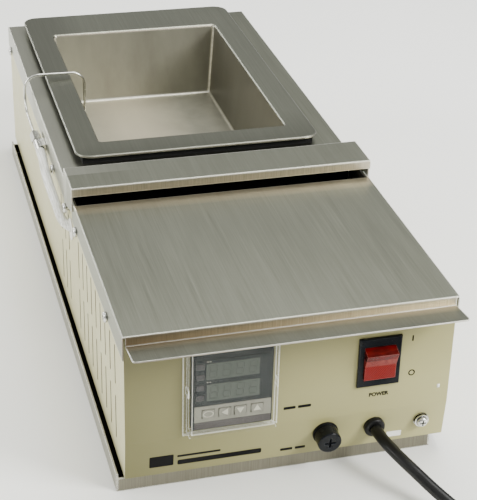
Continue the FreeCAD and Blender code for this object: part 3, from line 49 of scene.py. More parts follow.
FRONT_MM = FRONT * 1000
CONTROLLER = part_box("controller_front")
TANK_HALF_WIDTH, TANK_DEPTH, TANK_DRAFT = 66.5, 58, 4.3
TANK_SETBACK, FLANGE_REAR = 236.8, 43


def middle(node):
    low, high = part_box(node)
    return (low + high) / 2


# ---------------------------------------------------------------- camera and lights

def make_camera():
    """Stands 17 degrees to the left of the front and 29 degrees above the table."""
    data = bpy.data.cameras.new("camera")
    data.lens = 105.94
    data.shift_x = -0.0462
    data.shift_y = -0.0084
    data.clip_start = 0.05
    data.clip_end = 20
    camera = bpy.data.objects.new("camera", data)
    camera.location = (-0.2246, -0.9157, 0.5464)
    turn = (Matrix.Rotation(math.radians(-16.788), 4, "Z")
            @ Matrix.Rotation(math.radians(90 - 28.995), 4, "X")
            @ Matrix.Rotation(math.radians(2.049), 4, "Z"))
    camera.rotation_euler = turn.to_euler()
    bpy.context.scene.collection.objects.link(camera)
    bpy.context.scene.camera = camera


def make_light(name, place, target, energy, size, colour):
    """A rectangular soft light that faces its target."""
    data = bpy.data.lights.new(name, "AREA")
    data.energy = energy
    data.color = colour
    data.shape = "RECTANGLE"
    data.size, data.size_y = size
    light = bpy.data.objects.new(name, data)
    light.location = place
    light.rotation_euler = (Vector(target) - Vector(place)).to_track_quat("-Z", "Y").to_euler()
    bpy.context.scene.collection.objects.link(light)


# ---------------------------------------------------------------- shader building

class Shader:
    """One node material, with short calls for the nodes it needs."""

    def __init__(self, name):
        self.material = bpy.data.materials.new(name)
        self.material.use_nodes = True
        self.tree = self.material.node_tree
        self.surface = self.tree.nodes["Principled BSDF"]
        self.place = self.add("ShaderNodeTexCoord").outputs["Object"]
        self.rounding = None

    def add(self, kind, settings=None, **inputs):
        node = self.tree.nodes.new(kind)
        for name, setting in (settings or {}).items():
            setattr(node, name, setting)
        for name, source in inputs.items():
            self.feed(node.inputs[name.replace("_", " ")], source)
        return node

    def feed(self, socket, source):
        """Links a node's output to a socket, or sets the socket to a plain value."""
        if isinstance(source, bpy.types.NodeSocket):
            self.tree.links.new(source, socket)
        else:
            socket.default_value = source

    def math(self, operation, *sources):
        node = self.tree.nodes.new("ShaderNodeMath")
        node.operation = operation
        for socket, source in zip(node.inputs, sources):
            self.feed(socket, source)
        return node.outputs[0]

    def noise(self, scale, detail=2.0, roughness=0.5, place=None):
        """Noise whose scale may differ along the three axes."""
        stretch = self.add("ShaderNodeMapping", Vector=place or self.place)
        stretch.inputs["Scale"].default_value = scale if hasattr(scale, "__len__") else (scale,) * 3
        node = self.add("ShaderNodeTexNoise", Vector=stretch.outputs["Vector"], Scale=1.0,
                        Detail=detail, Roughness=roughness)
        return node.outputs["Fac"]

    def remap(self, source, low, high, start=0.3, end=0.7):
        """Stretches start..end of the source over low..high, and clamps it there."""
        node = self.tree.nodes.new("ShaderNodeMapRange")
        for name, number in (("From Min", start), ("From Max", end),
                             ("To Min", low), ("To Max", high)):
            node.inputs[name].default_value = number
        self.feed(node.inputs["Value"], source)
        return node.outputs["Result"]

    def mix(self, share, first, second):
        node = self.tree.nodes.new("ShaderNodeMix")
        node.data_type = "RGBA"
        self.feed(node.inputs["Factor"], share)
        self.feed(node.inputs[6], colour(first))
        self.feed(node.inputs[7], colour(second))
        return node.outputs[2]

    def bump(self, height, distance, strength=1.0):
        node = self.add("ShaderNodeBump", Height=height, Distance=distance, Strength=strength)
        if self.rounding:
            self.feed(node.inputs["Normal"], self.rounding)
        self.feed(self.surface.inputs["Normal"], node.outputs["Normal"])

    def facing(self, axis, sign=0):
        """How far the surface faces along an axis, either way or one way."""
        normal = self.add("ShaderNodeSeparateXYZ",
                          Vector=self.add("ShaderNodeNewGeometry").outputs["True Normal"])
        if sign:
            return self.math("MULTIPLY", normal.outputs[axis], float(sign))
        return self.math("ABSOLUTE", normal.outputs[axis])

    def at(self, axis):
        """Place along one axis, in millimetres."""
        parts = self.add("ShaderNodeSeparateXYZ", Vector=self.place)
        return self.math("MULTIPLY", parts.outputs[axis], 1000.0)

    def between(self, source, low, high, soft=0.3):
        """One between two numbers, with soft ends."""
        rise = self.remap(source, 0, 1, low - soft, low + soft)
        fall = self.remap(source, 1, 0, high - soft, high + soft)
        return self.math("MULTIPLY", rise, fall)

    def edges(self, radius, start=0.02, end=0.2):
        """Rounds the shading at sharp edges, and returns where they are."""
        bevel = self.tree.nodes.new("ShaderNodeBevel")
        bevel.samples = 4
        bevel.inputs["Radius"].default_value = radius
        flat = self.add("ShaderNodeNewGeometry").outputs["True Normal"]
        dot = self.tree.nodes.new("ShaderNodeVectorMath")
        dot.operation = "DOT_PRODUCT"
        self.feed(dot.inputs[0], bevel.outputs["Normal"])
        self.feed(dot.inputs[1], flat)
        self.rounding = bevel.outputs["Normal"]
        return self.remap(self.math("SUBTRACT", 1.0, dot.outputs["Value"]), 0, 1, start, end)

    def crevice(self, distance):
        """Zero deep in a recess, one in the open."""
        node = self.add("ShaderNodeAmbientOcclusion", Distance=distance)
        return node.outputs["AO"]

    def set(self, **inputs):
        for name, source in inputs.items():
            self.feed(self.surface.inputs[name.replace("_", " ")], colour(source))


def colour(source):
    """Three numbers are a colour and get their alpha."""
    if isinstance(source, (tuple, list)) and len(source) == 3:
        return (*source, 1.0)
    return source


def brushed_steel(name, light, dark, rough=0.34, grain=0.05, lip=(0.60, 0.54, 0.42), scuff_and_highlight_strength=1.0):
    """Sheet steel: grain along Y on top, upright on the lips; a painted reflection on faces that
    look to the front, and bright edges that are partly scuffing and partly painted highlight.
    """
    shader = Shader(name)
    scuff_and_highlight = shader.edges(0.0011, 0.01, 0.09)
    fine = shader.noise((2600, 16, 16), detail=3, roughness=0.8)
    across = shader.noise((1000, 12, 12), detail=4, roughness=0.75)
    upright = shader.noise((9, 9, 1500), detail=3, roughness=0.7)
    sideways = shader.math("GREATER_THAN", shader.facing("X"), 0.6)
    streaks = shader.mix(sideways, shader.mix(0.5, fine, across), upright)
    cloud = shader.noise((16, 6, 16), detail=2)
    tone = shader.math("ADD", shader.math("MULTIPLY", streaks, 0.75),
                       shader.math("MULTIPLY", cloud, 0.25))
    body = shader.mix(shader.remap(tone, 0, 1, 0.3, 0.7), dark, light)
    # Painted reflection: faces that look to the front take the warm lip colour.
    front = shader.remap(shader.facing("Y", -1), 0, 1, 0.5, 0.9)
    lips = shader.mix(front, body, shader.mix(shader.remap(fine, 0, 1), lip,
                                              tuple(part * 0.6 for part in lip)))
    # Painted highlight along the edges, partly real scuffing: pale and less metallic there.
    edge_scuff_and_highlight = shader.math("MULTIPLY", scuff_and_highlight, shader.remap(streaks, 0.75 * scuff_and_highlight_strength, scuff_and_highlight_strength))
    shader.set(Base_Color=shader.mix(edge_scuff_and_highlight, lips, (1.0, 0.99, 0.92)),
               Metallic=shader.remap(scuff_and_highlight, 1.0, 0.55, 0, 1),
               Roughness=shader.remap(streaks, rough - grain, rough + grain))
    shader.bump(streaks, 0.00002, 0.5)
    return shader


def cover_steel():
    """The covers' steel, with warm bands below the hood and in the shelf's fold as painted
    reflections, a painted sheen towards the rear cover's left, and a painted dark reflection on the
    front lip.
    """
    shader = brushed_steel("stainless", (0.345, 0.352, 0.288), (0.205, 0.211, 0.165))
    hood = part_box("vent_hood")[0].y * 1000
    along = shader.at("Y")
    # Painted reflection: warm bands on the front cover just in front of the hood and in the shelf's
    # fold.
    hood_reflection_band = shader.remap(along, 0, 1, hood - 16, hood - 3)
    low = shader.math("LESS_THAN", along, hood)
    fold = shader.remap(along, 0, 1, FRONT_MM - 9, FRONT_MM - 1.5)
    shelf = shader.math("MULTIPLY", fold, shader.math("LESS_THAN", along, FRONT_MM - 1.3))
    share = shader.math("MAXIMUM", shader.math("MULTIPLY", hood_reflection_band, low), shelf)
    upward = shader.remap(shader.facing("Z", 1), 0, 0.65, 0.5, 0.9)
    base = shader.surface.inputs["Base Color"].links[0].from_socket
    # Painted reflection on the front lip: dark brown at its left, fading out to the right.
    lip = shader.math("MULTIPLY", shader.math("LESS_THAN", along, FRONT_MM),
                      shader.remap(shader.facing("Y", -1), 0, 1, 0.5, 0.9))
    sideways = shader.remap(shader.at("X"), 0.78, 0.0, -95, 75)
    # Painted sheen: the rear cover is lighter towards its left.
    rear_left_sheen = shader.math("MULTIPLY", shader.remap(shader.at("X"), 0.6, 0, -95, -50),
                            shader.math("GREATER_THAN", along, hood + 20))
    base = shader.mix(rear_left_sheen, base, (0.52, 0.52, 0.45))
    base = shader.mix(shader.math("MULTIPLY", lip, sideways), base, (0.10, 0.07, 0.045))
    shader.set(Base_Color=shader.mix(shader.math("MULTIPLY", share, upward), base,
                                     (0.80, 0.68, 0.47)))
    return shader.material


def tray_steel():
    """Steel walls and rims; the space between the walls is in the dark under the case."""
    # The last colour is the painted reflection on faces that look to the front.
    shader = brushed_steel("tray_steel", (0.40, 0.39, 0.32), (0.28, 0.27, 0.22), 0.4, 0.05,
                           (0.27, 0.255, 0.20))
    low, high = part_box("base_tray")
    x, y = shader.at("X"), shader.at("Y")
    inside = shader.math("MULTIPLY",
                         shader.between(x, low.x * 1000 + 1.2, high.x * 1000 - 1.2, 0.1),
                         shader.between(y, low.y * 1000 + 1.2, high.y * 1000 - 1.2, 0.1))
    base = shader.surface.inputs["Base Color"].links[0].from_socket
    # Painted shade: the space between the walls is near black.
    shader.set(Base_Color=shader.mix(inside, base, (0.012, 0.011, 0.008)))
    return shader.material


def tank_steel():
    """The same steel on the flange, with painted shade towards its front and left; warmer and paler
    inside, with welded seams made bright partly by a painted highlight, a painted reflection on the
    floor and painted shade on the wall that faces -X.
    """
    shader = brushed_steel("tank_steel", (0.31, 0.317, 0.262), (0.178, 0.184, 0.147), scuff_and_highlight_strength=0.6)
    flange = shader.surface.inputs["Base Color"].links[0].from_socket
    low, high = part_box("solder_tank")
    # Painted shade: the flange darkens towards its front and its left side.
    nearer = shader.remap(shader.at("Y"), 0.5, 0.0, FRONT_MM + 214, FRONT_MM + 262)
    left_side = shader.remap(shader.at("X"), 0.3, 0.0, low.x * 1000 + 25, low.x * 1000 + 45)
    flange = shader.mix(shader.math("MAXIMUM", nearer, left_side), flange, (0.085, 0.087, 0.068))
    top = high.z * 1000
    floor = top - TANK_DEPTH
    middle_x = (low.x + high.x) * 500
    front, back = FRONT_MM + TANK_SETBACK, high.y * 1000 - FLANGE_REAR
    half_y = (back - front) / 2
    height = shader.at("Z")
    lean = shader.math("MULTIPLY", shader.math("SUBTRACT", top, height), TANK_DRAFT / TANK_DEPTH)
    reach_x = shader.math("ADD", lean, shader.math(
        "ABSOLUTE", shader.math("SUBTRACT", shader.at("X"), middle_x)))
    reach_y = shader.math("ADD", lean, shader.math(
        "ABSOLUTE", shader.math("SUBTRACT", shader.at("Y"), (front + back) / 2)))
    # Welded seams along the upright corners and the floor, made bright partly by a painted
    # highlight.
    wall_x = shader.remap(reach_x, 0, 1, TANK_HALF_WIDTH - 2.0, TANK_HALF_WIDTH - 0.9)
    wall_y = shader.remap(reach_y, 0, 1, half_y - 2.0, half_y - 0.9)
    upright = shader.math("MULTIPLY", wall_x, wall_y)
    lowest = shader.remap(height, 1, 0, floor + 0.5, floor + 1.6)
    lowest = shader.math("MULTIPLY", lowest, shader.math("MAXIMUM", wall_x, wall_y))
    ragged = shader.remap(shader.noise(260, detail=3), 0.5, 1.0)
    weld_and_highlight = shader.math("MULTIPLY", shader.math("MAXIMUM", upright, lowest), ragged)
    inside = shader.math("LESS_THAN", height, top - 1.6)
    stain = shader.remap(shader.noise((30, 30, 12), detail=4, roughness=0.6), 0, 1)
    wall = shader.mix(stain, (0.32, 0.31, 0.255), (0.46, 0.45, 0.37))
    shaded = shader.remap(shader.facing("X", -1), 0, 0.68, 0.3, 0.95)
    wall = shader.mix(shaded, wall, (0.09, 0.085, 0.065))
    # Painted reflection: a pale warm patch in the middle of the floor.
    across = shader.math("ABSOLUTE", shader.math("SUBTRACT", shader.at("X"), middle_x - 14))
    floor_reflection = shader.math("MULTIPLY", shader.remap(across, 1, 0, 8, 48),
                       shader.remap(shader.facing("Z"), 0, 0.8, 0.8, 0.98))
    wall = shader.mix(floor_reflection, wall, (0.66, 0.60, 0.47))
    shader.set(Base_Color=shader.mix(inside, flange, shader.mix(weld_and_highlight, wall, (0.78, 0.75, 0.64))),
               Metallic=shader.remap(inside, 1.0, 0.85, 0, 1),
               Roughness=shader.remap(inside, 0.34, 0.40, 0, 1))
    return shader.material


def enamel():
    """Cream enamel with painted shade: the front panel darker than the sides and darkest at its
    left and top, and the inner faces and the slots dark.
    """
    shader = Shader("cream_enamel")
    shader.edges(0.0005)
    ripple = shader.noise(900, detail=2)
    cloud = shader.noise(22, detail=3)
    low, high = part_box("case_shell")
    # Painted shade: the inner faces and the walls of the slots go dark.
    sides = shader.math("LESS_THAN", shader.math("ABSOLUTE", shader.at("X")),
                        high.x * 1000 - 0.06)
    rear = shader.math("LESS_THAN", shader.at("Y"), high.y * 1000 - 0.06)
    face = shader.math("GREATER_THAN", shader.at("Y"), FRONT_MM + 2.9)
    within = shader.math("MULTIPLY", shader.math("MULTIPLY", sides, rear), face)
    cream = shader.mix(shader.remap(cloud, 0, 1), (0.59, 0.56, 0.34), (0.555, 0.52, 0.30))
    # Painted shade on the front panel: darker than the sides, darkest to the left and towards the
    # top under the shelf.
    panel = shader.mix(shader.remap(shader.at("X"), 0, 1, -105, 100), (0.15, 0.14, 0.055),
                       (0.46, 0.43, 0.205))
    panel = shader.mix(shader.remap(shader.at("Z"), 0, 0.45, 55, 100), panel, (0.13, 0.115, 0.04))
    cream = shader.mix(shader.remap(shader.facing("Y", -1), 0, 1, 0.5, 0.9), cream, panel)
    shader.set(Base_Color=shader.mix(within, cream, (0.05, 0.045, 0.03)),
               Roughness=shader.remap(shader.noise(160), 0.36, 0.46), Specular_IOR_Level=0.4)
    shader.bump(ripple, 0.00004, 0.35)
    return shader.material


def plastic(name, base, rough, grain=700, depth=0.00002, edge=None, shine=0.5):
    """Moulded plastic or paint, paler at its edges where an edge colour is given."""
    shader = Shader(name)
    scuff_and_highlight = shader.edges(0.0004)
    cloud = shader.noise(60, detail=3)
    lighter = tuple(min(1, part * 1.25 + 0.003) for part in base)
    tone = shader.mix(shader.remap(cloud, 0, 1), base, lighter)
    if edge:
        tone = shader.mix(shader.math("MULTIPLY", scuff_and_highlight, 0.7), tone, edge)
    shader.set(Base_Color=tone, Specular_IOR_Level=shine,
               Roughness=shader.remap(shader.noise(220), rough - 0.04, rough + 0.04))
    shader.bump(shader.noise(grain, detail=2), depth, 0.4)
    return shader.material


def bright_metal(name, base, rough=0.18, recess=0.0):
    """Polished or plated metal; painted shade darkens recesses where a depth is given."""
    shader = Shader(name)
    smear = shader.noise(350, detail=3)
    scuff_and_highlight = tuple(part * 0.72 for part in base)
    tone = shader.mix(shader.remap(smear, 0, 1), scuff_and_highlight, base)
    if recess:
        # Painted shade in the recesses, such as the cross in a screw's head.
        tone = shader.mix(shader.remap(shader.crevice(recess), 0, 1, 0.45, 0.85),
                          (0.02, 0.018, 0.015), tone)
    shader.set(Base_Color=tone, Metallic=1.0,
               Roughness=shader.remap(shader.noise(500), rough - 0.06, rough + 0.08))
    shader.bump(smear, 0.00002, 0.4)
    return shader.material


def clear_plastic(name):
    """Almost invisible across its faces, with a painted highlight that makes its edges pale."""
    shader = Shader(name)
    scuff_and_highlight = shader.edges(0.0011, 0.02, 0.15)
    grime = shader.remap(shader.noise(120, detail=3), 0, 0.02)
    # Painted highlight: the edges go pale and less clear.
    shader.set(Base_Color=shader.mix(scuff_and_highlight, (0.30, 0.31, 0.27), (1.0, 1.0, 0.93)), Roughness=0.1,
               Specular_IOR_Level=0.3,
               Alpha=shader.math("ADD", grime, shader.remap(scuff_and_highlight, 0.03, 0.95, 0, 1)))
    return shader.material


def cloth(name, base, dark, strands, rough=0.6, depth=0.0003, contrast=0.15):
    """Spun or woven strands; the scales along the axes give their direction."""
    shader = Shader(name)
    threads = shader.noise(strands, detail=2)
    shader.set(Base_Color=shader.mix(shader.remap(threads, 0, 1, 0.5 - contrast, 0.5 + contrast),
                                     dark, base), Roughness=rough)
    shader.bump(threads, depth, 0.8)
    return shader.material


def rocker_red():
    """Red translucent rocker: streaky upper face darkened as painted shade, pale ridge band and a
    dotted lens below, and a painted highlight along its edges.
    """
    shader = Shader("red_lens")
    scuff_and_highlight = shader.edges(0.0005)
    centre = middle("switch_body")
    height = shader.math("SUBTRACT", shader.at("Z"), centre.z * 1000)
    side = shader.math("SUBTRACT", shader.at("X"), centre.x * 1000)
    streak = shader.noise((120, 120, 1500), detail=3)
    # Painted shade: the upper face, which the light misses, is a darker red with streaks.
    upper = shader.mix(shader.remap(streak, 0, 1), (0.025, 0.001, 0.001), (0.16, 0.004, 0.004))
    band = shader.mix(shader.remap(shader.noise((400, 400, 200)), 0, 1), (0.15, 0.010, 0.008),
                      (0.24, 0.030, 0.022))
    wave_x = shader.math("SINE", shader.math("MULTIPLY", side, 2 * math.pi / 1.15))
    wave_z = shader.math("SINE", shader.math("MULTIPLY", height, 2 * math.pi / 1.15))
    dots = shader.remap(shader.math("MULTIPLY", wave_x, wave_z), 0, 1, 0.05, 0.5)
    lens = shader.mix(dots, (0.06, 0.001, 0.001), (0.42, 0.016, 0.010))
    tone = shader.mix(shader.remap(height, 0, 1, 3.4, 4.0),
                      shader.mix(shader.remap(height, 0, 1, -1.6, -0.8), lens, band), upper)
    # Painted highlight: pale along the edges and the ridge.
    shader.set(Base_Color=shader.mix(shader.math("MULTIPLY", scuff_and_highlight, 0.35), tone, (0.85, 0.33, 0.28)),
               Roughness=0.2, Specular_IOR_Level=0.25)
    shader.bump(dots, 0.0002, 0.4)
    return shader.material


STEEL = cover_steel()
TRAY_STEEL = tray_steel()
TANK_STEEL = tank_steel()
# Painted shade: the steel parts inside the case are near black, standing for the dark behind the
# slots.
INNER_STEEL = brushed_steel("inner_steel", (0.030, 0.030, 0.028), (0.02, 0.02, 0.018), 0.6, 0.05,
                            (0.02, 0.02, 0.018)).material
CREAM = enamel()
ZINC = bright_metal("zinc", (0.80, 0.80, 0.77), 0.2, 0.0016)
SHEATH = bright_metal("probe_sheath", (0.70, 0.70, 0.64), 0.2)
BRASS = bright_metal("brass", (0.75, 0.55, 0.25), 0.2)
ALUMINIUM = bright_metal("aluminium", (0.7, 0.7, 0.72), 0.35)
BLACK = plastic("black_plastic", (0.004, 0.004, 0.004), 0.38, shine=0.2)
FACE = plastic("controller_face", (0.013, 0.016, 0.018), 0.4, edge=(0.10, 0.11, 0.10), shine=0.15)
GLOSS_BLACK = plastic("gloss_black", (0.002, 0.003, 0.005), 0.25, 300, 0.00001,
                      (0.10, 0.11, 0.13), 0.2)
GREY = plastic("grey_keys", (0.20, 0.195, 0.16), 0.5, shine=0.2)
WINDOW = plastic("dark_window", (0.014, 0.018, 0.020), 0.2, 200, 0.000004, shine=0.15)
RUBBER = plastic("cord_rubber", (0.002, 0.002, 0.002), 0.34, 900, 0.00003, shine=0.3)
WHITE_RUBBER = plastic("white_rubber", (0.7, 0.69, 0.64), 0.6)
CLEAR = clear_plastic("clear_plastic")
BRAID = cloth("white_braid", (0.90, 0.90, 0.86), (0.55, 0.55, 0.49), (1500, 45, 700), 0.7)
FIBRE = cloth("ceramic_fibre", (0.78, 0.77, 0.72), (0.6, 0.59, 0.54), (300, 300, 300), 0.9)
# Painted shade: the black seal stands in for the shaded gap under the tank's flange.
SHADE_SEAL = cloth("black_fibre", (0.002, 0.002, 0.002), (0.001, 0.001, 0.001), (500, 500, 500), 1.0)
MICA = plastic("mica", (0.35, 0.27, 0.16), 0.7)
WIRE = plastic("red_wire", (0.5, 0.03, 0.02), 0.4)
RED = rocker_red()
LCD = plastic("display_glass", (0.060, 0.070, 0.060), 0.3, 260, 0.000004, shine=0.2)
SEGMENT = plastic("display_segment", (0.041, 0.048, 0.042), 0.3, shine=0.2)
LAMP = plastic("lamp_square", (0.036, 0.034, 0.037), 0.3, shine=0.2)
LEGEND = plastic("pale_legend", (0.46, 0.45, 0.37), 0.5, shine=0.2)
BAND = plastic("label_band", (0.060, 0.053, 0.053), 0.4, shine=0.2)
INK = plastic("black_ink", (0.003, 0.003, 0.003), 0.6, shine=0.1)
PAPER = plastic("white_sticker", (0.80, 0.80, 0.74), 0.6)
# A pale raised spot on the front panel.
CREAM_BRIGHT = plastic("pale_dimple", (0.85, 0.83, 0.76), 0.3)

FINISHES = {
    STEEL: ("rear_cover", "front_cover", "vent_hood"),
    TRAY_STEEL: ("base_tray",),
    TANK_STEEL: ("solder_tank",),
    INNER_STEEL: ("floor_plate", "partition_wall", "heat_jacket", "heater_clamp"),
    CREAM: ("case_shell", "front_panel"),
    ZINC: ("cover_screws", "tray_spacers", "jacket_feet", "probe_bracket", "ground_washers",
           "ground_screw", "ground_nut"),
    SHEATH: ("thermocouple_probe", "probe_fitting"),
    BRASS: ("switch_terminals", "plug_blades"),
    ALUMINIUM: ("heat_sink",),
    FACE: ("controller_front",),
    BLACK: ("controller_housing", "controller_clamp", "fuse_holder",
            "fuse_nut", "fuse_carrier", "cord_bushing", "solid_state_relay", "terminal_block",
            "coil_tie"),
    GLOSS_BLACK: ("switch_body", "fuse_cap"),
    GREY: ("key_strip", "key_set", "key_shift", "key_down", "key_up"),
    WINDOW: ("display_window",),
    RUBBER: ("plug_body", "power_cord", "cord_coil", "cord_tail"),
    WHITE_RUBBER: ("partition_grommet", "sleeve_grommet"),
    CLEAR: ("clear_cover", "glass_fuse"),
    BRAID: ("lead_sleeve", "heater_leads"),
    FIBRE: ("insulation_ring", "insulation_slab"),
    SHADE_SEAL: ("tank_seal",),
    MICA: ("heater_strips",),
    WIRE: ("control_wires",),
    RED: ("switch_rocker",),
}


def finish_nodes():
    for material, names in FINISHES.items():
        for name in names:
            for slot in nodes[name].material_slots:
                slot.material = material


# ---------------------------------------------------------------- printed and thin pieces

BEND_Z = 35.0  # the front panel's bend, in millimetres above the table
LEAN = 2.5 / 25.5  # how far the lower strip runs back for its height


def panel_y(x, z):
    """The front panel's face: upright above the bend, leaning back below it."""
    return FRONT_MM + max(0, BEND_Z - z) * LEAN


def upright(y):
    """A flat upright surface, for pieces that stand on it."""
    return lambda x, z: y


def rounded(across, high, corner, centre=(0, 0), steps=5, turn=0.0):
    """Corners of a rectangle with round corners, in millimetres."""
    points = []
    for quarter, (side, up) in enumerate(((1, 1), (-1, 1), (-1, -1), (1, -1))):
        for step in range(steps + 1):
            angle = math.pi / 2 * (quarter + step / steps)
            x = side * (across / 2 - corner) + corner * math.cos(angle)
            z = up * (high / 2 - corner) + corner * math.sin(angle)
            points.append((centre[0] + x * math.cos(turn) - z * math.sin(turn),
                           centre[1] + x * math.sin(turn) + z * math.cos(turn)))
    return points


def thin_piece(name, outlines, surface, thickness, body, material, soft=0.0):
    """Closed slabs that stand off a surface towards the front; each outline is (x, z) points."""
    shape = bmesh.new()
    for outline in outlines:
        back = [shape.verts.new(Vector((x, surface(x, z) - 0.01, z)) * MM) for x, z in outline]
        middle_x = sum(x for x, z in outline) / len(outline)
        middle_z = sum(z for x, z in outline) / len(outline)
        front = []
        for x, z in outline:
            reach = math.hypot(x - middle_x, z - middle_z) or 1
            share = 1 - soft / reach
            x, z = middle_x + (x - middle_x) * share, middle_z + (z - middle_z) * share
            front.append(shape.verts.new(Vector((x, surface(x, z) - thickness, z)) * MM))
        shape.faces.new(front)
        shape.faces.new(back[::-1])
        count = len(outline)
        for index in range(count):
            after = (index + 1) % count
            shape.faces.new((back[index], back[after], front[after], front[index]))
    bmesh.ops.recalc_face_normals(shape, faces=shape.faces)
    mesh = bpy.data.meshes.new(name)
    shape.to_mesh(mesh)
    shape.free()
    mesh.materials.append(material)
    piece = bpy.data.objects.new(name, mesh)
    bpy.context.scene.collection.objects.link(piece)
    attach(piece, body)
    return piece


def ring(centre, outer, inner, sides=28, squash=1.0):
    """A flat ring as four-cornered outlines."""
    outlines = []
    for index in range(sides):
        angles = [2 * math.pi * (index + step) / sides for step in (0, 1)]
        corners = [(outer, angles[0]), (outer, angles[1]), (inner, angles[1]), (inner, angles[0])]
        outlines.append([(centre[0] + radius * math.cos(angle),
                          centre[1] + radius * squash * math.sin(angle))
                         for radius, angle in corners])
    return outlines


def digits(left, right, low, high):
    """Unlit seven-segment figures, four in a row."""
    outlines = []
    pitch = (right - left) / 4
    tall = (high - low) * 0.36
    wide = pitch * 0.54
    bar = 0.75
    for number in range(4):
        x0 = left + pitch * (number + 0.5)
        z0 = (low + high) / 2
        for level in (-1, 0, 1):
            outlines.append(rounded(wide - bar, bar, 0.3, (x0 + level * 0.5, z0 + level * tall), 1))
        for side in (-1, 1):
            for level in (-0.5, 0.5):
                outlines.append(rounded(bar, tall - bar * 0.7, 0.3,
                                        (x0 + side * wide / 2 + level * 0.5, z0 + level * tall), 1))
    return outlines


def make_displays():
    """Two display glasses with unlit figures, four lamps and the band under the keys."""
    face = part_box("display_window")[0].y * 1000
    upper = (-53.2, -22.0, 77.4, 88.4)
    lower = (-52.8, -21.6, 62.9, 74.4)
    for name, (left, right, low, high) in (("upper", upper), ("lower", lower)):
        glass = rounded(right - left, high - low, 0.5, ((left + right) / 2, (low + high) / 2))
        thin_piece(f"display_{name}", [glass], upright(face), 0.12, "case", LCD, 0.1)
        thin_piece(f"display_{name}_figures", digits(left, right, low, high),
                   upright(face - 0.12), 0.05, "case", SEGMENT)
    lamps = [rounded(4.9, 3.9, 0.8, (-56.7, z)) for z in (86.6, 79.6, 72.4, 65.6)]
    thin_piece("controller_lamps", lamps, upright(face), 0.12, "case", LAMP, 0.2)
    ticks = [rounded(0.8, 0.5, 0.1, (x, 60.9 + rise), 1)
             for x in (-52.4, -50.8) for rise in (14.9, 28.8)]
    thin_piece("display_ticks", ticks, upright(face), 0.06, "case", LEGEND)
    front = CONTROLLER[0].y * 1000
    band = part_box("key_strip")
    across = (band[1].x - band[0].x) * 1000
    top, bottom = band[0].z * 1000 - 0.2, CONTROLLER[0].z * 1000 + 1.1
    thin_piece("label_band", [rounded(across, top - bottom, 0.4,
                                      (middle("key_strip").x * 1000, (top + bottom) / 2))],
               upright(front), 0.1, "case", BAND, 0.1)


def make_key_marks():
    """An oval and three arrowheads, each on its own key."""
    marks = {}
    for key in ("set", "shift", "down", "up"):
        low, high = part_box(f"key_{key}")
        centre = ((low.x + high.x) * 500, (low.z + high.z) * 500)
        marks[key] = (centre, low.y * 1000)
    (x, z), face = marks["set"]
    thin_piece("mark_set", ring((x, z), 3.2, 2.6, 32, 0.66), upright(face), 0.06, "set_key",
               LEGEND)
    arrows = {
        "shift": ((-2.1, 0), (1.9, 2.3), (1.9, -2.3)),
        "down": ((0, -2.2), (2.3, 1.7), (-2.3, 1.7)),
        "up": ((0, 2.2), (-2.3, -1.7), (2.3, -1.7)),
    }
    for key, points in arrows.items():
        (x, z), face = marks[key]
        thin_piece(f"mark_{key}", [[(x + a, z + b) for a, b in points]],
                   upright(face), 0.06, f"{key}_key", LEGEND)


def make_prints():
    """Printed marks on the panel, with plain shapes where the original has names or ratings."""
    bars = [rounded(length, 1.9, 0.5, (x, z)) for length, x, z in
            ((7.4, -1.0, 45.8), (8.0, 8.2, 45.8), (7.6, -1.2, 14.6), (6.4, 7.4, 14.6))]
    bars += [rounded(51, 3.6, 0.9, (-42.3, 16.6), 5), rounded(26, 1.5, 0.3, (-55, 21.4)),
             rounded(0.95, 3.9, 0.2, (73.1, 83.7), 2), rounded(14.4, 8.2, 0.7, (-77.4, 19.2))]
    bars += ring((74.2, 59.3), 2.15, 1.35)
    thin_piece("panel_prints", bars, panel_y, 0.05, "case", INK)
    across, up = 54.2, 47.0
    words = bpy.data.curves.new("power_word", "FONT")
    words.body = "POWER"
    words.size = 3.5 * MM
    words.align_x = "CENTER"
    words.align_y = "CENTER"
    words.extrude = 0.02 * MM
    words.offset = 0.17 * MM
    words.materials.append(INK)
    word = bpy.data.objects.new("power_word", words)
    word.location = Vector((across, panel_y(across, up) - 0.03, up)) * MM
    word.rotation_euler = (math.radians(90), 0, 0)
    bpy.context.scene.collection.objects.link(word)
    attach(word, "case")
    thin_piece("blank_sticker", [rounded(9.6, 4.2, 0.4, (67.1, 14.4), 4, math.radians(-1))],
               panel_y, 0.1, "case", PAPER, 0.1)
    thin_piece("panel_dimple", [rounded(2.0, 2.6, 0.5, (92.4, 47.0))], panel_y, 0.5, "case",
               CREAM_BRIGHT, 0.6)


# ---------------------------------------------------------------- power cord

CORD_RADIUS = 3.7 * MM
CORD_EXIT = Vector((53.2, -245.45, 23.15)) * MM
ROUTE = (  # x and y from the exit, z from the table
    (1.4, -10.0, 21.9), (5.8, -22.2, 19.4), (12.4, -35.7, 15.8),
    (20.7, -51.0, 10.6), (30.5, -68.5, 6.4), (36.5, -89.0, 4.1),
)
COIL = Vector((136.8, -386, 0)) * MM
COIL_RADIUS = 41.4 * MM
STEPS = 16  # points to a turn


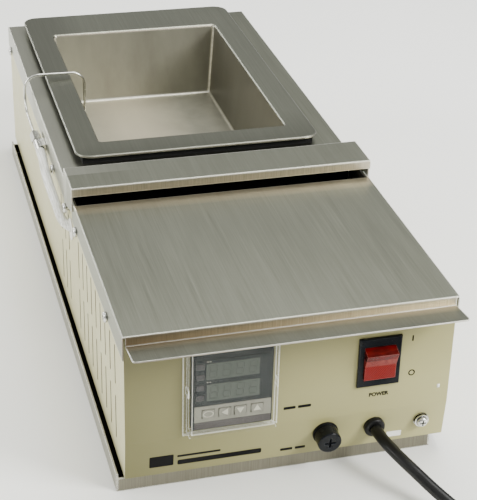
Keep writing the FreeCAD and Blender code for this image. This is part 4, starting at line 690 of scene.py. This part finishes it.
def coil_points():
    """Two turns in, two turns out above them and one and a quarter in, then over to the plug."""
    inset = 1 / (0.75 + 0.25 * math.cos(2 * math.pi / STEPS))
    diameter = 2 * CORD_RADIUS
    outer = COIL_RADIUS + diameter
    inner = COIL_RADIUS - diameter
    layers = ((2, outer, inner), (2, inner, outer), (1.25, outer, outer - 1.25 * diameter))
    points = []
    angle = 180.0
    for level, (turns, start, end) in enumerate(layers):
        count = round(turns * STEPS)
        for step in range(count):
            share = step / count
            rise = max(0, (share * turns - turns + 0.2) / 0.2)
            radius = (start + share * (end - start)) * inset
            height = CORD_RADIUS + (level + 0.5 * rise) * diameter
            points.append((angle, radius, height))
            angle += 360 / STEPS
    top = 7 * CORD_RADIUS
    plug_height = 30.7 * MM
    lift_start, lift_end, route_end = 2205, 2340, 2317  # degrees round the coil
    last = points[-1]
    climb = 4
    for step in range(1, climb):
        share = step / climb
        points.append((last[0] + step * 360 / STEPS,
                       last[1] + share * (COIL_RADIUS * inset - last[1]),
                       last[2] + share * (top - last[2])))
    while points[-1][0] < route_end:
        angle = points[-1][0] + 360 / STEPS
        share = max(0, (angle - lift_start) / (lift_end - lift_start))
        points.append((angle, COIL_RADIUS * inset, top + share * (plug_height - top)))
    return [COIL + Vector((radius * math.cos(math.radians(turn)),
                           radius * math.sin(math.radians(turn)), height))
            for turn, radius, height in points]


def make_cord():
    """Runs from the bushing down to the table, round the coil and into the plug."""
    points = [CORD_EXIT]
    points += [Vector((CORD_EXIT.x + x * MM, CORD_EXIT.y + y * MM, z * MM)) for x, y, z in ROUTE]
    coil = coil_points()
    points.append(Vector((coil[0].x + 0.8 * MM, COIL.y + 24.5 * MM, CORD_RADIUS)))
    points += coil
    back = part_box("plug_body")
    points.append(Vector(((back[0].x + back[1].x) / 2, back[1].y, (back[0].z + back[1].z) / 2)))
    data = bpy.data.curves.new("mains_cord", "CURVE")
    data.dimensions = "3D"
    data.bevel_depth = CORD_RADIUS
    data.bevel_resolution = 6
    data.resolution_u = 6
    spline = data.splines.new("NURBS")
    spline.points.add(len(points) - 1)
    for knot, point in zip(spline.points, points):
        knot.co = (*point, 1)
    spline.order_u = 3
    spline.use_endpoint_u = True
    cord = bpy.data.objects.new("mains_cord", data)
    data.materials.append(RUBBER)
    bpy.context.scene.collection.objects.link(cord)
    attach(cord, "case")
    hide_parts("power_cord", "cord_coil", "cord_tail")


# ---------------------------------------------------------------- floor and studio

def make_floor():
    """Pale floor, with painted light that makes it a little whiter to the object's right."""
    mesh = bpy.data.meshes.new("floor")
    mesh.from_pydata([(-6, -6, 0), (6, -6, 0), (6, 6, 0), (-6, 6, 0)], [], [(0, 1, 2, 3)])
    floor = bpy.data.objects.new("floor", mesh)
    shader = Shader("floor_white")
    shade = shader.mix(shader.remap(shader.noise(3), 0, 1), (0.90, 0.90, 0.865),
                       (0.92, 0.92, 0.885))
    # Painted light: the floor grows whiter to the right of the object.
    shader.set(Base_Color=shader.mix(shader.remap(shader.at("X"), 0, 1, 0, 350), shade,
                                     (0.98, 0.98, 0.965)), Roughness=0.6)
    mesh.materials.append(shader.material)
    bpy.context.scene.collection.objects.link(floor)


def make_world():
    """Soft studio light: dim at the horizon and bright overhead."""
    world = bpy.data.worlds.new("studio")
    world.use_nodes = True
    tree = world.node_tree
    back = tree.nodes["Background"]
    back.inputs["Color"].default_value = (0.96, 0.97, 0.93, 1)
    place = tree.nodes.new("ShaderNodeTexCoord")
    parts = tree.nodes.new("ShaderNodeSeparateXYZ")
    ramp = tree.nodes.new("ShaderNodeMapRange")
    for name, number in (("From Min", 0.45), ("From Max", 0.95), ("To Min", 0.42), ("To Max", 1.5)):
        ramp.inputs[name].default_value = number
    tree.links.new(place.outputs["Generated"], parts.inputs["Vector"])
    tree.links.new(parts.outputs["Z"], ramp.inputs["Value"])
    tree.links.new(ramp.outputs["Result"], back.inputs["Strength"])
    bpy.context.scene.world = world


make_camera()
make_floor()
make_world()
make_light("key", (0.35, 0.30, 1.5), (0, 0, 0.05), 18, (0.9, 0.9), (1.0, 1.0, 0.98))
make_light("side", (-1.6, 0.1, 0.7), (0, 0, 0.05), 20, (0.8, 0.8), (1.0, 1.0, 0.98))
make_light("rim", (-1.0, 1.7, 0.7), (0, 0, 0.1), 14, (0.9, 0.6), (1.0, 1.0, 0.98))
make_light("fill", (1.2, -1.1, 1.1), (0.25, -0.4, 0), 50, (0.7, 0.7), (1.0, 1.0, 0.97))
finish_nodes()
make_displays()
make_key_marks()
make_prints()
make_cord()
